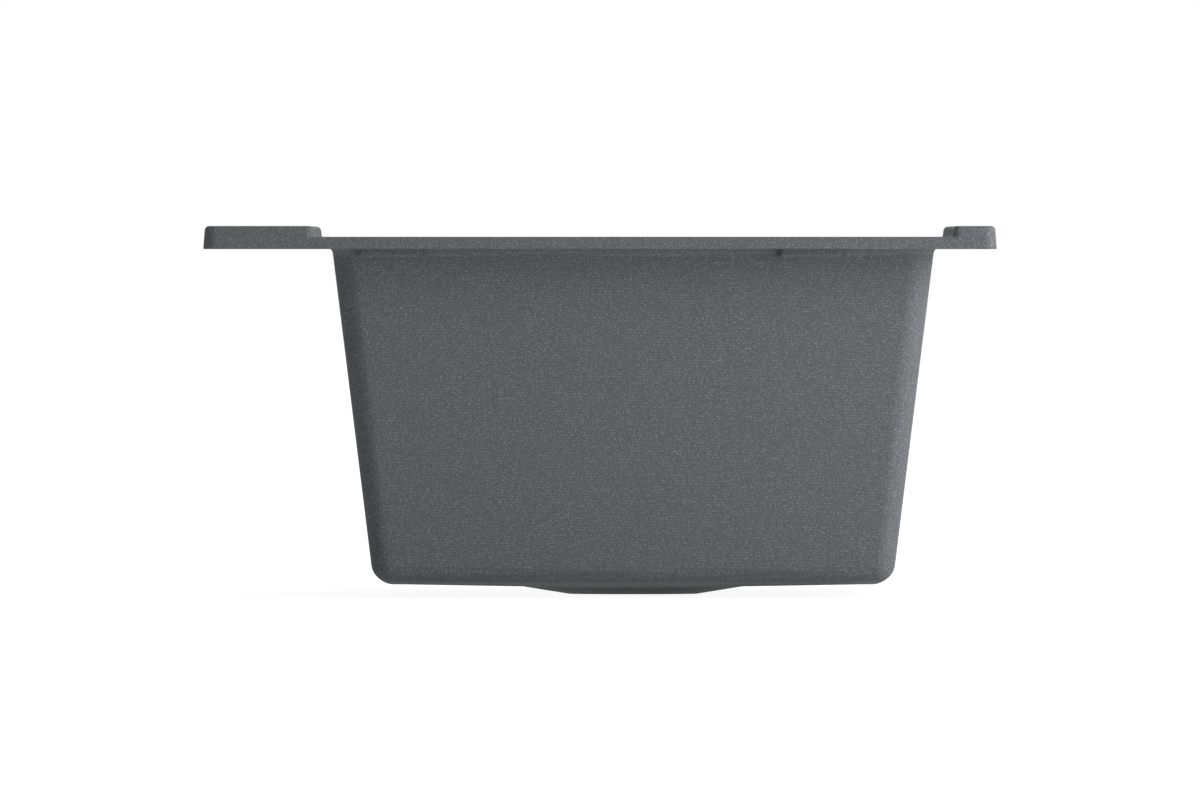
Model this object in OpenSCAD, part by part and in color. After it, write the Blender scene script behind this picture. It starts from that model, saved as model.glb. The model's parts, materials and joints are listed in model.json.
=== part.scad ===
// Drop-in workstation kitchen sink, cast in one piece from grey quartz composite, with its kit:
// a cutting board and a colander that slide along the lower tier, a bottom grid and a drain cap.
//
// Millimetres. X runs along the length, Y from the front rail to the tap deck, Z up.
// The origin is under the centre of the rim's outline, on the plane that the sump stands on.

/* [Rim] */
// Length of the rim over its ends
rim_length = 838.2; // [780:0.1:960]
// Width of the rim from front to back
rim_width = 558.8; // [520:0.1:620]
// Thickness of the rim between the raised parts
slab_t = 8.7; // [7:0.1:14]
// Rise of the tap deck and the front rail over the upper tier
step_h = 7.6; // [5:0.1:14]
// Width of the raised tap deck
deck_w = 77.2; // [60:0.1:90]
// Width of the raised front rail
rail_w = 30.4; // [22:0.1:40]
// Radius of the rim's corners in plan
rim_corner_r = 9; // [5:0.5:14]
// Radius of the raised parts' inner corners in plan
block_corner_r = 5; // [2:0.5:8]
// Radius of the rim's top edges
edge_r = 3.2; // [1:0.1:4]
// Slope of the rim's outer edge from upright, in degrees
edge_draft = 4.5; // [0:0.5:8]
// Slope of the raised parts' inner faces from upright, in degrees
step_draft = 7.5; // [0:0.5:15]

/* [Bowl] */
// Height of the worktop plane over the sump's underside
bowl_drop = 246.3; // [200:0.1:280]
// Length of the bowl's outside at the worktop plane
bowl_length = 772; // [700:0.5:775]
// Width of the bowl's outside at the worktop plane
bowl_width = 424.4; // [400:0.2:430]
// Thickness of the bowl's walls
wall_t = 9.2; // [8:0.1:12]
// Thickness of the bowl's floor
floor_t = 9.5; // [8:0.1:13]
// Slope of the outer walls from upright, in degrees
wall_draft = 7; // [3:0.5:9]
// Outer radius of the bowl's upright corners, at the top
bowl_corner_r = 17.5; // [13:0.5:24]
// Outer radius where the walls turn into the floor
floor_edge_r = 14; // [11:0.5:18]
// Inner radius of the bowl's upright corners
inner_corner_r = 12; // [8:0.5:14]
// Inner radius where the walls turn into the floor
inner_floor_r = 16; // [10:0.5:20]
// Fall of the floor towards the drain, in degrees
floor_slope = 1.1; // [0.5:0.1:2]
// Height of the thickened collar under the rim
collar_h = 5.5; // [3:0.5:8]
// Reach of the collar along the end walls
collar_end = 5; // [2:0.5:8]
// Reach of the collar along the front and back walls
collar_side = 1.8; // [1:0.1:4]
// Width of the bevel round the bowl's mouth
mouth_bevel = 2.5; // [1:0.5:3]

/* [Tiers] */
// Depth of the lower tier below the upper tier
tier_drop = 20; // [18:0.5:30]
// Width of the lower tier's two ledges
tier_w = 12; // [11:0.5:16]

/* [Drain] */
// Diameter of the drain hole
drain_d = 89; // [86:0.5:92]
// Width of the flat land round the drain hole's lower end
land_w = 1.2; // [1:0.1:4]
// Radius of the sump
sump_r = 79.2; // [72:0.1:90]
// Slope of the sump, in degrees
sump_slope = 9.1; // [6:0.1:12]
// Radius of the recess that takes the strainer's flange
flange_seat_r = 58; // [56.5:0.5:62]
// Depth of that recess
flange_seat_drop = 3; // [2:0.5:4]

/* [Tap holes] */
// Diameter of each tap hole
tap_hole_d = 35; // [32:0.5:38]
// Distance between neighbouring tap holes
tap_spacing = 101.6; // [80:0.1:110]
// Number of tap holes
tap_holes = 3; // [1:1:5]

/* [Clip lugs] */
// Distance of each lug from the rim's middle
lug_offset = 148; // [110:1:170]
// Width of a lug at the wall
lug_root_w = 48; // [40:1:60]
// Width of a lug's outer face
lug_face_w = 40.6; // [30:0.2:42]
// Height of a lug
lug_h = 5.5; // [4:0.5:8]
// Height of a lug's outer face
lug_face_h = 3.9; // [2:0.1:4]
// Reach of a lug out from the end wall
lug_reach = 14; // [8:1:20]

/* [Running fits] */
// Gap under what rests on the tiers and the floor
seat_gap = 0.3; // [0.2:0.05:0.6]
// Gap between the kit's edges and the bowl's front and back walls
side_gap = 1.6; // [1:0.1:3]
// Gap between the kit's ends and the bowl's end walls
end_gap = 1.5; // [1:0.1:4]
// Width of the soft runners under the board and the colander
runner_w = 7; // [5:0.5:8]
// Thickness of the runners
runner_t = 1.5; // [1:0.1:2]
// Distance of the runners from the long edges of what they carry
runner_edge = 1; // [0.5:0.5:3]
// Radius of the corners of the board and of the colander's flange
kit_corner_r = 10; // [8:0.5:20]

/* [Cutting board] */
// Length of the board along the bowl
board_l = 300; // [240:1:320]
// Thickness of the board
board_t = 16; // [12:0.5:16]
// Width of the battens across the board's ends
batten_w = 42; // [34:1:50]
// Width of the juice groove
groove_w = 7; // [4:0.5:9]
// Depth of the juice groove
groove_drop = 3; // [1:0.5:4]
// Distance of the juice groove from the board's edge
groove_inset = 14; // [12:1:16]
// Length of the finger slot
slot_l = 100; // [80:1:120]
// Width of the finger slot
slot_w = 26; // [20:1:30]
// Distance of the finger slot's middle from the batten
slot_inset = 32; // [24:1:40]
// Room past the two ends of a dowel, together
dowel_end_room = 1; // [0.5:0.5:2]
// Diameter of the dowels that hold the battens
dowel_d = 8; // [5:0.5:9]
// Length of the dowels
dowel_l = 44; // [30:1:50]
// Number of dowels at each end
dowels = 4; // [2:1:6]

/* [Colander] */
// Length of the colander along the bowl
colander_l = 190; // [150:1:200]
// Depth of the colander below its flange
colander_drop = 95; // [60:1:110]
// Thickness of the colander's sheet
sheet_t = 1.2; // [1:0.1:1.6]
// Width of the flange at the colander's two ends
flange_end_w = 11; // [10:0.5:16]
// Gap between the colander's body and the lower tier's edges
body_gap = 2.5; // [2:0.1:4]
// Slope of the colander's walls from upright, in degrees
colander_draft = 6; // [5:0.5:9]
// Radius of the body's upright corners
colander_corner_r = 24; // [20:1:30]
// Radius where the colander's walls turn into its floor
colander_floor_r = 12; // [9:0.5:14]
// Width of the floor's border round the perforated screen
border_w = 22; // [20:1:28]
// Diameter of the screen's holes
hole_d = 8; // [4:0.5:9]
// Distance between the screen's holes
hole_pitch = 16; // [14:0.5:20]
// Width of the two wire grips
grip_span = 96; // [80:1:120]
// Rise of the grips over the flange
grip_rise = 14; // [12:0.5:15]
// Diameter of the grips' wire
grip_d = 5; // [4:0.5:6]
// Diameter of the colander's feet
colander_foot_d = 11; // [8:0.5:12]
// Height of the colander's feet
colander_foot_h = 4; // [3:0.5:8]

/* [Bottom grid] */
// Height of the frame wire's middle over the sump's edge
grid_rise = 28; // [26:1:40]
// Diameter of the frame wire, the cross wires and the legs
frame_d = 6; // [5:0.5:8]
// Diameter of the long wires
wire_d = 4; // [3:0.5:5]
// Distance between the long wires
wire_pitch = 26; // [20:1:36]
// Radius of the frame's corners, to the wire's middle
frame_corner_r = 40; // [30:1:60]
// Radius of the ring over the drain, to the wire's middle
ring_r = 69; // [64:0.5:80]
// Number of cross wires on each side of the ring
cross_wires = 3; // [2:1:5]
// Distance of the legs from the bowl's middle line
leg_offset = 130; // [100:1:140]
// Diameter of the grid's feet
grid_foot_d = 14; // [12:0.5:18]
// Height of the grid's feet
grid_foot_h = 11; // [9:0.5:12]
// Thickness of a foot under its leg
grid_foot_sole = 3; // [2:0.5:5]
// Diameter of the bumper sleeves on the frame
bumper_d = 12; // [10:0.5:14]
// Length of the bumper sleeves
bumper_l = 34; // [20:1:50]
// Gap between the bumpers and the bowl's walls
bumper_gap = 1.5; // [1:0.1:3]

/* [Drain cap] */
// Diameter of the cap
cap_d = 108; // [102:0.5:110]
// Thickness of the cap's plate
cap_t = 1.6; // [1:0.1:3]
// Thickness of the cap's seal
seal_t = 2; // [1.5:0.1:3]
// Width of the cap's seal
seal_w = 10; // [8:0.5:12]
// Rise of the cap's dish to its middle
cap_rise = 3; // [2:0.5:5]
// Diameter of the knob
knob_d = 26; // [18:1:30]
// Height of the knob
knob_h = 14; // [11:1:16]
// Diameter of the knob's screw
cap_screw_d = 5; // [4:0.5:6]

/* [Hidden] */

// How fine the round shapes are drawn
$fn = 48;
HULL_FN = 28;
// How far down a ball of that fineness reaches, as a share of its radius
BALL_REACH = cos(180 / HULL_FN);
ARC_STEPS = 6;
// Slack by which a cut passes the face that it cuts
CUT = 1;
// Thickness of the discs that carry a hulled outline
DISC = 0.02;
// Difference that keeps two faces from lying in one plane
HAIR = 0.02;
// Amount by which a bore is wider than the bar in it
BORE_SLACK = 0.1;

composite = [0.37, 0.375, 0.385];
steel = [0.78, 0.79, 0.8];
wood = [0.62, 0.4, 0.22];
silicone = [0.2, 0.2, 0.21];

// Heights
counter_z = bowl_drop;
upper_tier_z = counter_z + slab_t;
block_h = slab_t + step_h;
tier_z = upper_tier_z - tier_drop;

// Where the raised parts' leaning inner faces meet the upper tier
step_lean = step_h / 2 * tan(step_draft);
deck_foot_y = rim_width / 2 - deck_w - step_lean;
rail_foot_y = rail_w + step_lean - rim_width / 2;

// The bowl lies midway between the tap deck and the front rail
bowl_y = (rail_w - deck_w) / 2;

// Sump and floor, as cones about the drain
sump_foot_r = drain_d / 2 + land_w;
sump_h = (sump_r - sump_foot_r) * tan(sump_slope);
function floor_out(r) = sump_h + (r - sump_r) * tan(floor_slope);
function floor_in(r) = floor_out(r) + floor_t;
seat_top_z = (flange_seat_r - sump_foot_r) * tan(sump_slope) + floor_t;
seat_z = seat_top_z - flange_seat_drop;

// Half sizes of the bowl's outside and of the room inside it, at height z
function out_half_l(z) = bowl_length / 2 - (counter_z - z) * tan(wall_draft);
function out_half_w(z) = bowl_width / 2 - (counter_z - z) * tan(wall_draft);
mouth_half_l = out_half_l(tier_z) - wall_t;
mouth_half_w = out_half_w(tier_z) - wall_t;
tier_half_w = mouth_half_w - tier_w;
room_foot_z = floor_in(sump_r);
room_slope_w = (tier_half_w - out_half_w(room_foot_z) + wall_t) / (tier_z - room_foot_z);
room_draft_w = atan(room_slope_w);
function room_half_l(z) = out_half_l(z) - wall_t;
function room_half_w(z) = tier_half_w - (tier_z - z) * room_slope_w;

// The board and the colander share these along the lower tier
kit_half_w = mouth_half_w - side_gap;
kit_z = tier_z + seat_gap + runner_t;
runner_y = kit_half_w - runner_edge - runner_w / 2;
kit_end_x = mouth_half_l - end_gap;

board_x = -kit_end_x + board_l / 2;
panel_l = board_l - 2 * batten_w;
colander_x = kit_end_x - colander_l / 2;

// Colander body: half sizes under its flange, and its floor
flange_z = kit_z;
body_half_l = colander_l / 2 - flange_end_w;
body_half_w = tier_half_w - body_gap;
tray_floor_z = flange_z + sheet_t - colander_drop;
tray_lean = (flange_z + sheet_t - tray_floor_z) * tan(colander_draft);
floor_half_l = body_half_l - tray_lean;
floor_half_w = body_half_w - tray_lean;
screen_cut_l = 2 * (floor_half_l - border_w);
screen_cut_w = 2 * (floor_half_w - border_w);
screen_lap = 5;
screen_l = screen_cut_l + 2 * screen_lap;
screen_w = screen_cut_w + 2 * screen_lap;
screen_corner_r = 12;
foot_margin = 0.5;

// Bottom grid
grid_z = room_foot_z + grid_rise;
frame_half_l = room_half_l(grid_z) - bumper_gap - bumper_d / 2;
frame_half_w = room_half_w(grid_z) - bumper_gap - bumper_d / 2;
long_z = grid_z + frame_d / 2 + wire_d / 2;
first_cross_x = ring_r + frame_d;
cross_step = (frame_half_l - first_cross_x) / cross_wires;
last_cross_x = first_cross_x + (cross_wires - 1) * cross_step;
wires_half = floor((frame_half_w - wire_pitch / 2 - wire_d) / wire_pitch);
sleeve_bore_d = frame_d + BORE_SLACK;
leg_sink = grid_foot_h - grid_foot_sole;

// Drain cap
seal_z = seat_z + seat_gap;
cap_z = seal_z + seal_t;
screw_head_d = 2 * cap_screw_d;
screw_head_h = 3;
seal_margin = 1;
boss_inset = 2;
knob_crown = 4;
knob_edge = 2;
knob_waist_r = knob_d / 2 - 5;
knob_grip_z = knob_h - 5;
knob_neck_z = knob_grip_z - 3;
screw_grip = knob_h - knob_crown;

// Top edge of an upright or leaning side whose foot is at x = 0: an arc of radius r that turns
// from the side into the top at height h
function top_edge(h, draft, r) = [
    for (i = [0 : ARC_STEPS])
        let (a = draft + (90 - draft) * i / ARC_STEPS)
        [(r - h) * tan(draft) - r / cos(draft) + r * cos(a), h - r + r * sin(a)]
];

// The same edge on a left side whose foot is at x, and on a right side, both in clockwise order
function left_edge(points, x, y = 0) = [for (p = points) [x - p[0], y + p[1]]];
function right_edge(points, x, y = 0) =
    [for (i = [len(points) - 1 : -1 : 0]) [x + points[i][0], y + points[i][1]]];

module rounded_rect(l, w, r) {
    square([l - 2 * r, w], center = true);
    square([l, w - 2 * r], center = true);
    for (sx = [-1, 1], sy = [-1, 1])
        translate([sx * (l / 2 - r), sy * (w / 2 - r)]) circle(r);
}

// Section extruded along X, with its x along Y and its y up
module along_x(l) {
    rotate([90, 0, 90]) linear_extrude(l, center = true) children();
}

// Section extruded along Y, with its x along X and its y up
module along_y(l) {
    rotate([90, 0, 0]) linear_extrude(l, center = true) children();
}

// Round bar along X or Y between two places
module bar_x(d, x0, x1) {
    translate([x0, 0, 0]) rotate([0, 90, 0]) cylinder(h = x1 - x0, d = d);
}

module bar_y(d, y0, y1) {
    translate([0, y1, 0]) rotate([90, 0, 0]) cylinder(h = y1 - y0, d = d);
}

// Four upright discs at a rounded outline's corners, for a hull
module corner_discs(half_l, half_w, r) {
    for (sx = [-1, 1], sy = [-1, 1])
        translate([sx * (half_l - r), sy * (half_w - r), 0]) cylinder(h = DISC, r = r, $fn = HULL_FN);
}

// Section of the whole rim: the front rail, the upper tier and the tap deck
module rim_section() {
    outer = top_edge(block_h, edge_draft, edge_r);
    step = top_edge(step_h, step_draft, edge_r);
    polygon(concat(
        [[-rim_width / 2, 0]],
        left_edge(outer, -rim_width / 2),
        right_edge(step, rail_foot_y, slab_t),
        [[rail_foot_y, slab_t], [deck_foot_y, slab_t]],
        left_edge(step, deck_foot_y, slab_t),
        right_edge(outer, rim_width / 2),
        [[rim_width / 2, 0]]
    ));
}

// Section along the rim, which leans and rounds its two ends; it passes the rim's faces by a hair
module rim_ends() {
    outer = top_edge(block_h + HAIR, edge_draft, edge_r);
    foot_x = rim_length / 2 + CUT * tan(edge_draft);
    polygon(concat(
        [[-foot_x, -CUT]],
        left_edge(outer, -rim_length / 2),
        right_edge(outer, rim_length / 2),
        [[foot_x, -CUT]]
    ));
}

// What rounds the upper tier's edge over one end
module tier_end_cut() {
    arc = top_edge(slab_t, edge_draft, edge_r);
    translate([rim_length / 2, (rail_foot_y + deck_foot_y) / 2, 0])
        along_y(deck_foot_y - rail_foot_y)
        polygon(concat(arc, [[arc[ARC_STEPS][0], slab_t + CUT], [CUT, slab_t + CUT], [CUT, arc[0][1]]]));
}

// What rounds a raised part's upright corner, where its step meets one end
module block_corner_cut() {
    reach = block_corner_r + CUT;
    linear_extrude(step_h + CUT) difference() {
        translate([-block_corner_r, -CUT]) square([reach + CUT, reach]);
        translate([-block_corner_r, block_corner_r]) circle(block_corner_r);
    }
}

module rim() {
    end_x = rim_length / 2 - slab_t * tan(edge_draft);
    translate([0, 0, counter_z]) difference() {
        intersection() {
            translate([0, 0, -CUT]) linear_extrude(block_h + 2 * CUT)
                rounded_rect(rim_length + 10 * HAIR, rim_width + 10 * HAIR, rim_corner_r);
            along_x(rim_length + 2 * CUT) rim_section();
            along_y(rim_width + 2 * CUT) rim_ends();
        }
        for (end = [0, 1]) mirror([end, 0, 0]) {
            tier_end_cut();
            translate([end_x, deck_foot_y, slab_t]) block_corner_cut();
            translate([end_x, rail_foot_y, slab_t]) mirror([0, 1, 0]) block_corner_cut();
        }
    }
}

// Balls along the edge of a floor that falls to the drain, for a hull: each lies on the floor's
// cone and touches the leaning walls
module floor_edge_balls(half_l, half_w, lean_l, lean_w, floor_z, r) {
    places = concat([for (i = [0 : 4]) [i / 4, 1]], [[1, 0.5], [1, 0]]);
    for (p = places, sx = [-1, 1], sy = [-1, 1]) {
        fall = (norm([p[0] * half_l, p[1] * half_w]) - sump_r) * tan(floor_slope);
        z = floor_z + fall + r * BALL_REACH;
        x = half_l + z * tan(lean_l) - r / cos(lean_l);
        y = half_w + z * tan(lean_w) - r / cos(lean_w);
        translate([sx * p[0] * x, sy * p[1] * y, z]) sphere(r, $fn = HULL_FN);
    }
}

// Outside of the bowl, from inside the rim's slab down to the floor
module bowl_outside() {
    top = counter_z + slab_t / 2;
    hull() {
        translate([0, 0, top]) corner_discs(out_half_l(top), out_half_w(top), bowl_corner_r);
        floor_edge_balls(out_half_l(0), out_half_w(0), wall_draft, wall_draft, sump_h, floor_edge_r);
        translate([0, 0, sump_h]) cylinder(h = DISC, r = sump_r);
    }
    cone_h = sump_h + floor_t / 2;
    cylinder(h = cone_h, r1 = sump_foot_r, r2 = sump_foot_r + cone_h / tan(sump_slope));
}

// Thickened band where the bowl's walls meet the rim
module collar() {
    low = counter_z - collar_h;
    hull() {
        translate([0, 0, low]) corner_discs(out_half_l(low), out_half_w(low), bowl_corner_r);
        translate([0, 0, counter_z])
            corner_discs(bowl_length / 2 + collar_end, bowl_width / 2 + collar_side, bowl_corner_r);
    }
}

// Room between the upper tier and the lower tier, with the bevel round the mouth
module mouth_room() {
    translate([0, 0, tier_z])
        linear_extrude(tier_drop + CUT) rounded_rect(2 * mouth_half_l, 2 * mouth_half_w, inner_corner_r);
    hull() {
        translate([0, 0, upper_tier_z - mouth_bevel])
            corner_discs(mouth_half_l, mouth_half_w, inner_corner_r);
        translate([0, 0, upper_tier_z])
            corner_discs(
                mouth_half_l + mouth_bevel,
                mouth_half_w + mouth_bevel,
                inner_corner_r + mouth_bevel
            );
    }
}

// Room below the lower tier, down to the falling floor
module lower_room() {
    hull() {
        translate([0, 0, tier_z]) corner_discs(mouth_half_l, tier_half_w, inner_corner_r);
        floor_edge_balls(
            room_half_l(0), room_half_w(0), wall_draft, room_draft_w, room_foot_z, inner_floor_r
        );
        translate([0, 0, room_foot_z]) cylinder(h = DISC, r = sump_r);
    }
}

// Sump, flange recess and drain hole
module drain_cuts() {
    sump_run = sump_r - flange_seat_r;
    translate([0, 0, seat_top_z])
        cylinder(h = room_foot_z - seat_top_z + DISC, r1 = flange_seat_r, r2 = sump_r);
    translate([0, 0, seat_z]) cylinder(h = flange_seat_drop + sump_run * tan(sump_slope), r = flange_seat_r);
    translate([0, 0, -CUT]) cylinder(h = seat_z + 2 * CUT, d = drain_d);
}

module tap_hole_cuts() {
    for (i = [0 : tap_holes - 1])
        translate([(i - (tap_holes - 1) / 2) * tap_spacing, (rim_width - deck_w) / 2, counter_z - CUT])
            cylinder(h = block_h + 2 * CUT, d = tap_hole_d);
}

// Lug under the rim's end, which narrows away from the wall at x = 0
module clip_lug() {
    root = -lug_reach / 2;
    intersection() {
        translate([0, 0, -lug_h])
            linear_extrude(lug_h)
            polygon([
                [root, -lug_root_w / 2], [0, -lug_root_w / 2], [lug_reach, -lug_face_w / 2],
                [lug_reach, lug_face_w / 2], [0, lug_root_w / 2], [root, lug_root_w / 2]
            ]);
        along_y(lug_root_w + 2 * CUT)
            polygon([
                [root, 0], [lug_reach, 0], [lug_reach, -lug_face_h],
                [lug_reach - (lug_h - lug_face_h), -lug_h], [root, -lug_h]
            ]);
    }
}

module clip_lugs() {
    for (s = [-1, 1], end = [0, 1])
        mirror([end, 0, 0]) translate([bowl_length / 2, s * lug_offset, counter_z]) clip_lug();
}

module basin() {
    color(composite) difference() {
        union() {
            rim();
            translate([0, bowl_y, 0]) {
                bowl_outside();
                collar();
            }
            clip_lugs();
        }
        translate([0, bowl_y, 0]) {
            mouth_room();
            lower_room();
            drain_cuts();
        }
        tap_hole_cuts();
    }
}

// Rounded ring of round wire, to the wire's middle
module wire_loop(half_l, half_w, corner_r, d) {
    straight_l = half_l - corner_r;
    straight_w = half_w - corner_r;
    for (s = [-1, 1]) {
        translate([0, s * half_w, 0]) bar_x(d, -straight_l, straight_l);
        translate([s * half_l, 0, 0]) bar_y(d, -straight_w, straight_w);
    }
    for (q = [0 : 3]) {
        sx = (q == 0 || q == 3) ? 1 : -1;
        sy = q < 2 ? 1 : -1;
        translate([sx * straight_l, sy * straight_w, 0])
            rotate([0, 0, 90 * q])
            rotate_extrude(angle = 90)
            translate([corner_r, 0])
            circle(d = d);
    }
}

module at_grid() {
    translate([0, bowl_y, grid_z]) children();
}

module grid_frame() {
    color(steel) at_grid() wire_loop(frame_half_l, frame_half_w, frame_corner_r, frame_d);
}

module grid_cross_wires() {
    reach = frame_half_w - frame_d / 2;
    color(steel) at_grid()
        for (i = [0 : cross_wires - 1], s = [-1, 1])
            translate([s * (first_cross_x + i * cross_step), 0, 0]) bar_y(frame_d, -reach, reach);
}

// Wires along the bowl, laid on the frame; those over the drain stop on its ring
module grid_long_wires() {
    color(steel) translate([0, bowl_y, long_z])
        for (i = [0 : wires_half], side = [-1, 1]) {
            y = (i + 0.5) * wire_pitch;
            translate([0, side * y, 0])
                if (y < ring_r) {
                    stop = sqrt(ring_r * ring_r - y * y);
                    for (end = [0, 1])
                        mirror([end, 0, 0]) bar_x(wire_d, stop, frame_half_l);
                } else {
                    bar_x(wire_d, -frame_half_l, frame_half_l);
                }
        }
}

module grid_drain_ring() {
    color(steel) at_grid() rotate_extrude($fn = 96) translate([ring_r, 0]) circle(d = frame_d);
}

// Where a leg stands, and how high the floor lies under its foot
LEG_PLACES = [for (x = [first_cross_x, last_cross_x], sx = [-1, 1], sy = [-1, 1]) [sx * x, sy * leg_offset]];
function foot_z(p) = floor_in(norm(p) + grid_foot_d / 2) + seat_gap;

module grid_legs() {
    color(steel) translate([0, bowl_y, 0])
        for (p = LEG_PLACES) {
            low = foot_z(p) + grid_foot_h - leg_sink;
            translate([p[0], p[1], low]) cylinder(h = grid_z - frame_d / 2 - low, d = frame_d);
        }
}

module grid_feet() {
    color(silicone) translate([0, bowl_y, 0])
        for (p = LEG_PLACES)
            translate([p[0], p[1], foot_z(p)]) difference() {
                cylinder(h = grid_foot_h, d = grid_foot_d);
                translate([0, 0, grid_foot_h - leg_sink]) cylinder(h = leg_sink + CUT, d = sleeve_bore_d);
            }
}

module sleeve_x() {
    difference() {
        bar_x(bumper_d, -bumper_l / 2, bumper_l / 2);
        bar_x(sleeve_bore_d, -bumper_l / 2 - CUT, bumper_l / 2 + CUT);
    }
}

// Soft sleeves on the frame wire, midway between cross wires, that keep the grid off the walls
module grid_bumpers() {
    side_x = last_cross_x - cross_step / 2;
    end_y = frame_half_w / 2;
    color(silicone) at_grid() for (sx = [-1, 1], sy = [-1, 1]) {
        translate([sx * side_x, sy * frame_half_w, 0]) sleeve_x();
        translate([sx * frame_half_l, sy * end_y, 0]) rotate([0, 0, 90]) sleeve_end();
    }
}

// The end sleeves are open under the long wires that cross them
module sleeve_end() {
    difference() {
        sleeve_x();
        translate([-bumper_l / 2 - CUT, -bumper_d, frame_d / 2])
            cube([bumper_l + 2 * CUT, 2 * bumper_d, bumper_d]);
    }
}

module at_drain(z) {
    translate([0, bowl_y, z]) children();
}

// Plate with a shallow dish, so that it drains to its edge
module cap_plate() {
    dish_r = cap_d / 2 - seal_w - seal_margin;
    boss_r = knob_d / 2 - boss_inset;
    color(steel) at_drain(cap_z) rotate_extrude($fn = 96) polygon([
        [cap_screw_d / 2, cap_rise], [boss_r, cap_rise], [dish_r, 0], [cap_d / 2, 0],
        [cap_d / 2, cap_t], [dish_r, cap_t], [boss_r, cap_rise + cap_t], [cap_screw_d / 2, cap_rise + cap_t]
    ]);
}

module cap_seal() {
    color(silicone) at_drain(seal_z) difference() {
        cylinder(h = seal_t, d = cap_d, $fn = 96);
        translate([0, 0, -CUT]) cylinder(h = seal_t + 2 * CUT, r = cap_d / 2 - seal_w, $fn = 96);
    }
}

module cap_knob() {
    color(steel) at_drain(cap_z + cap_rise + cap_t) difference() {
        rotate_extrude($fn = 64) polygon([
            [0, 0], [knob_waist_r, 0], [knob_waist_r, knob_neck_z], [knob_d / 2, knob_grip_z],
            [knob_d / 2, knob_h - knob_edge], [knob_d / 2 - knob_edge, knob_h], [0, knob_h]
        ]);
        translate([0, 0, -CUT]) cylinder(h = screw_grip + CUT, d = cap_screw_d);
    }
}

module cap_screw() {
    color(steel) at_drain(cap_z + cap_rise - screw_head_h) {
        cylinder(h = screw_head_h, d = screw_head_d);
        cylinder(h = screw_head_h + cap_t + screw_grip, d = cap_screw_d);
    }
}

module at_board() {
    translate([board_x, bowl_y, kit_z]) children();
}

module board_outline() {
    rounded_rect(board_l, 2 * kit_half_w, kit_corner_r);
}

// Groove that catches juice, round the whole top of the board
module juice_groove() {
    translate([0, 0, board_t - groove_drop]) linear_extrude(groove_drop + CUT) difference() {
        rounded_rect(board_l - 2 * groove_inset, 2 * (kit_half_w - groove_inset), kit_corner_r);
        rounded_rect(
            board_l - 2 * (groove_inset + groove_w),
            2 * (kit_half_w - groove_inset - groove_w),
            kit_corner_r / 2
        );
    }
}

module dowel_bars(d, l) {
    step = 2 * kit_half_w / dowels;
    for (s = [-1, 1], i = [0 : dowels - 1])
        translate([s * panel_l / 2, (i + 0.5) * step - kit_half_w, (board_t - groove_drop) / 2])
            bar_x(d, -l / 2, l / 2);
}

module board_panel() {
    slot_x = panel_l / 2 - slot_inset;
    color(wood) at_board() difference() {
        translate([-panel_l / 2, -kit_half_w, 0]) cube([panel_l, 2 * kit_half_w, board_t]);
        juice_groove();
        dowel_bars(dowel_d + BORE_SLACK, dowel_l + dowel_end_room);
        translate([slot_x, 0, -CUT]) linear_extrude(board_t + 2 * CUT)
            rounded_rect(slot_w, slot_l, slot_w / 2 - HAIR);
    }
}

module board_end_battens() {
    color(wood) at_board() difference() {
        linear_extrude(board_t) board_outline();
        translate([-panel_l / 2, -kit_half_w - CUT, -CUT])
            cube([panel_l, 2 * (kit_half_w + CUT), board_t + 2 * CUT]);
        juice_groove();
        dowel_bars(dowel_d + BORE_SLACK, dowel_l + dowel_end_room);
    }
}

module board_dowels() {
    color(wood) at_board() dowel_bars(dowel_d, dowel_l);
}

// A pair of soft strips, under the front and back edges of a piece of length l
module runners(l) {
    for (s = [-1, 1])
        translate([0, s * runner_y, -runner_t]) linear_extrude(runner_t)
            rounded_rect(l - 2 * kit_corner_r, runner_w, runner_w / 2 - HAIR);
}

module board_runners() {
    color(silicone) at_board() runners(board_l);
}

module at_colander() {
    translate([colander_x, bowl_y, 0]) children();
}

// Body of the colander as a solid, drawn in by t on every side
module colander_body(t) {
    r = colander_floor_r - t;
    z = tray_floor_z + t + r * BALL_REACH;
    lean = (z - tray_floor_z) * tan(colander_draft) - r / cos(colander_draft) - t / cos(colander_draft);
    hull() {
        translate([0, 0, flange_z + sheet_t - DISC]) corner_discs(
            body_half_l - t / cos(colander_draft),
            body_half_w - t / cos(colander_draft),
            colander_corner_r - t
        );
        for (sx = [-1, 1], sy = [-1, 1])
            translate([sx * (floor_half_l + lean), sy * (floor_half_w + lean), z]) sphere(r, $fn = HULL_FN);
    }
}

module colander_tray() {
    color(steel) at_colander() difference() {
        union() {
            colander_body(0);
            translate([0, 0, flange_z]) linear_extrude(sheet_t)
                rounded_rect(colander_l, 2 * kit_half_w, kit_corner_r);
        }
        translate([0, 0, DISC]) colander_body(sheet_t);
        translate([0, 0, tray_floor_z - CUT]) linear_extrude(sheet_t + 2 * CUT)
            rounded_rect(screen_cut_l, screen_cut_w, screen_corner_r - screen_lap);
    }
}

module colander_screen() {
    nx = floor((screen_cut_l / 2 - hole_pitch / 2) / hole_pitch);
    ny = floor((screen_cut_w / 2 - hole_pitch / 2) / hole_pitch);
    color(steel) at_colander() translate([0, 0, tray_floor_z + sheet_t + DISC]) linear_extrude(sheet_t)
        difference() {
            rounded_rect(screen_l, screen_w, screen_corner_r);
            for (i = [-nx : nx], j = [-ny : ny])
                translate([i * hole_pitch, j * hole_pitch]) circle(d = hole_d, $fn = 24);
        }
}

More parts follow.
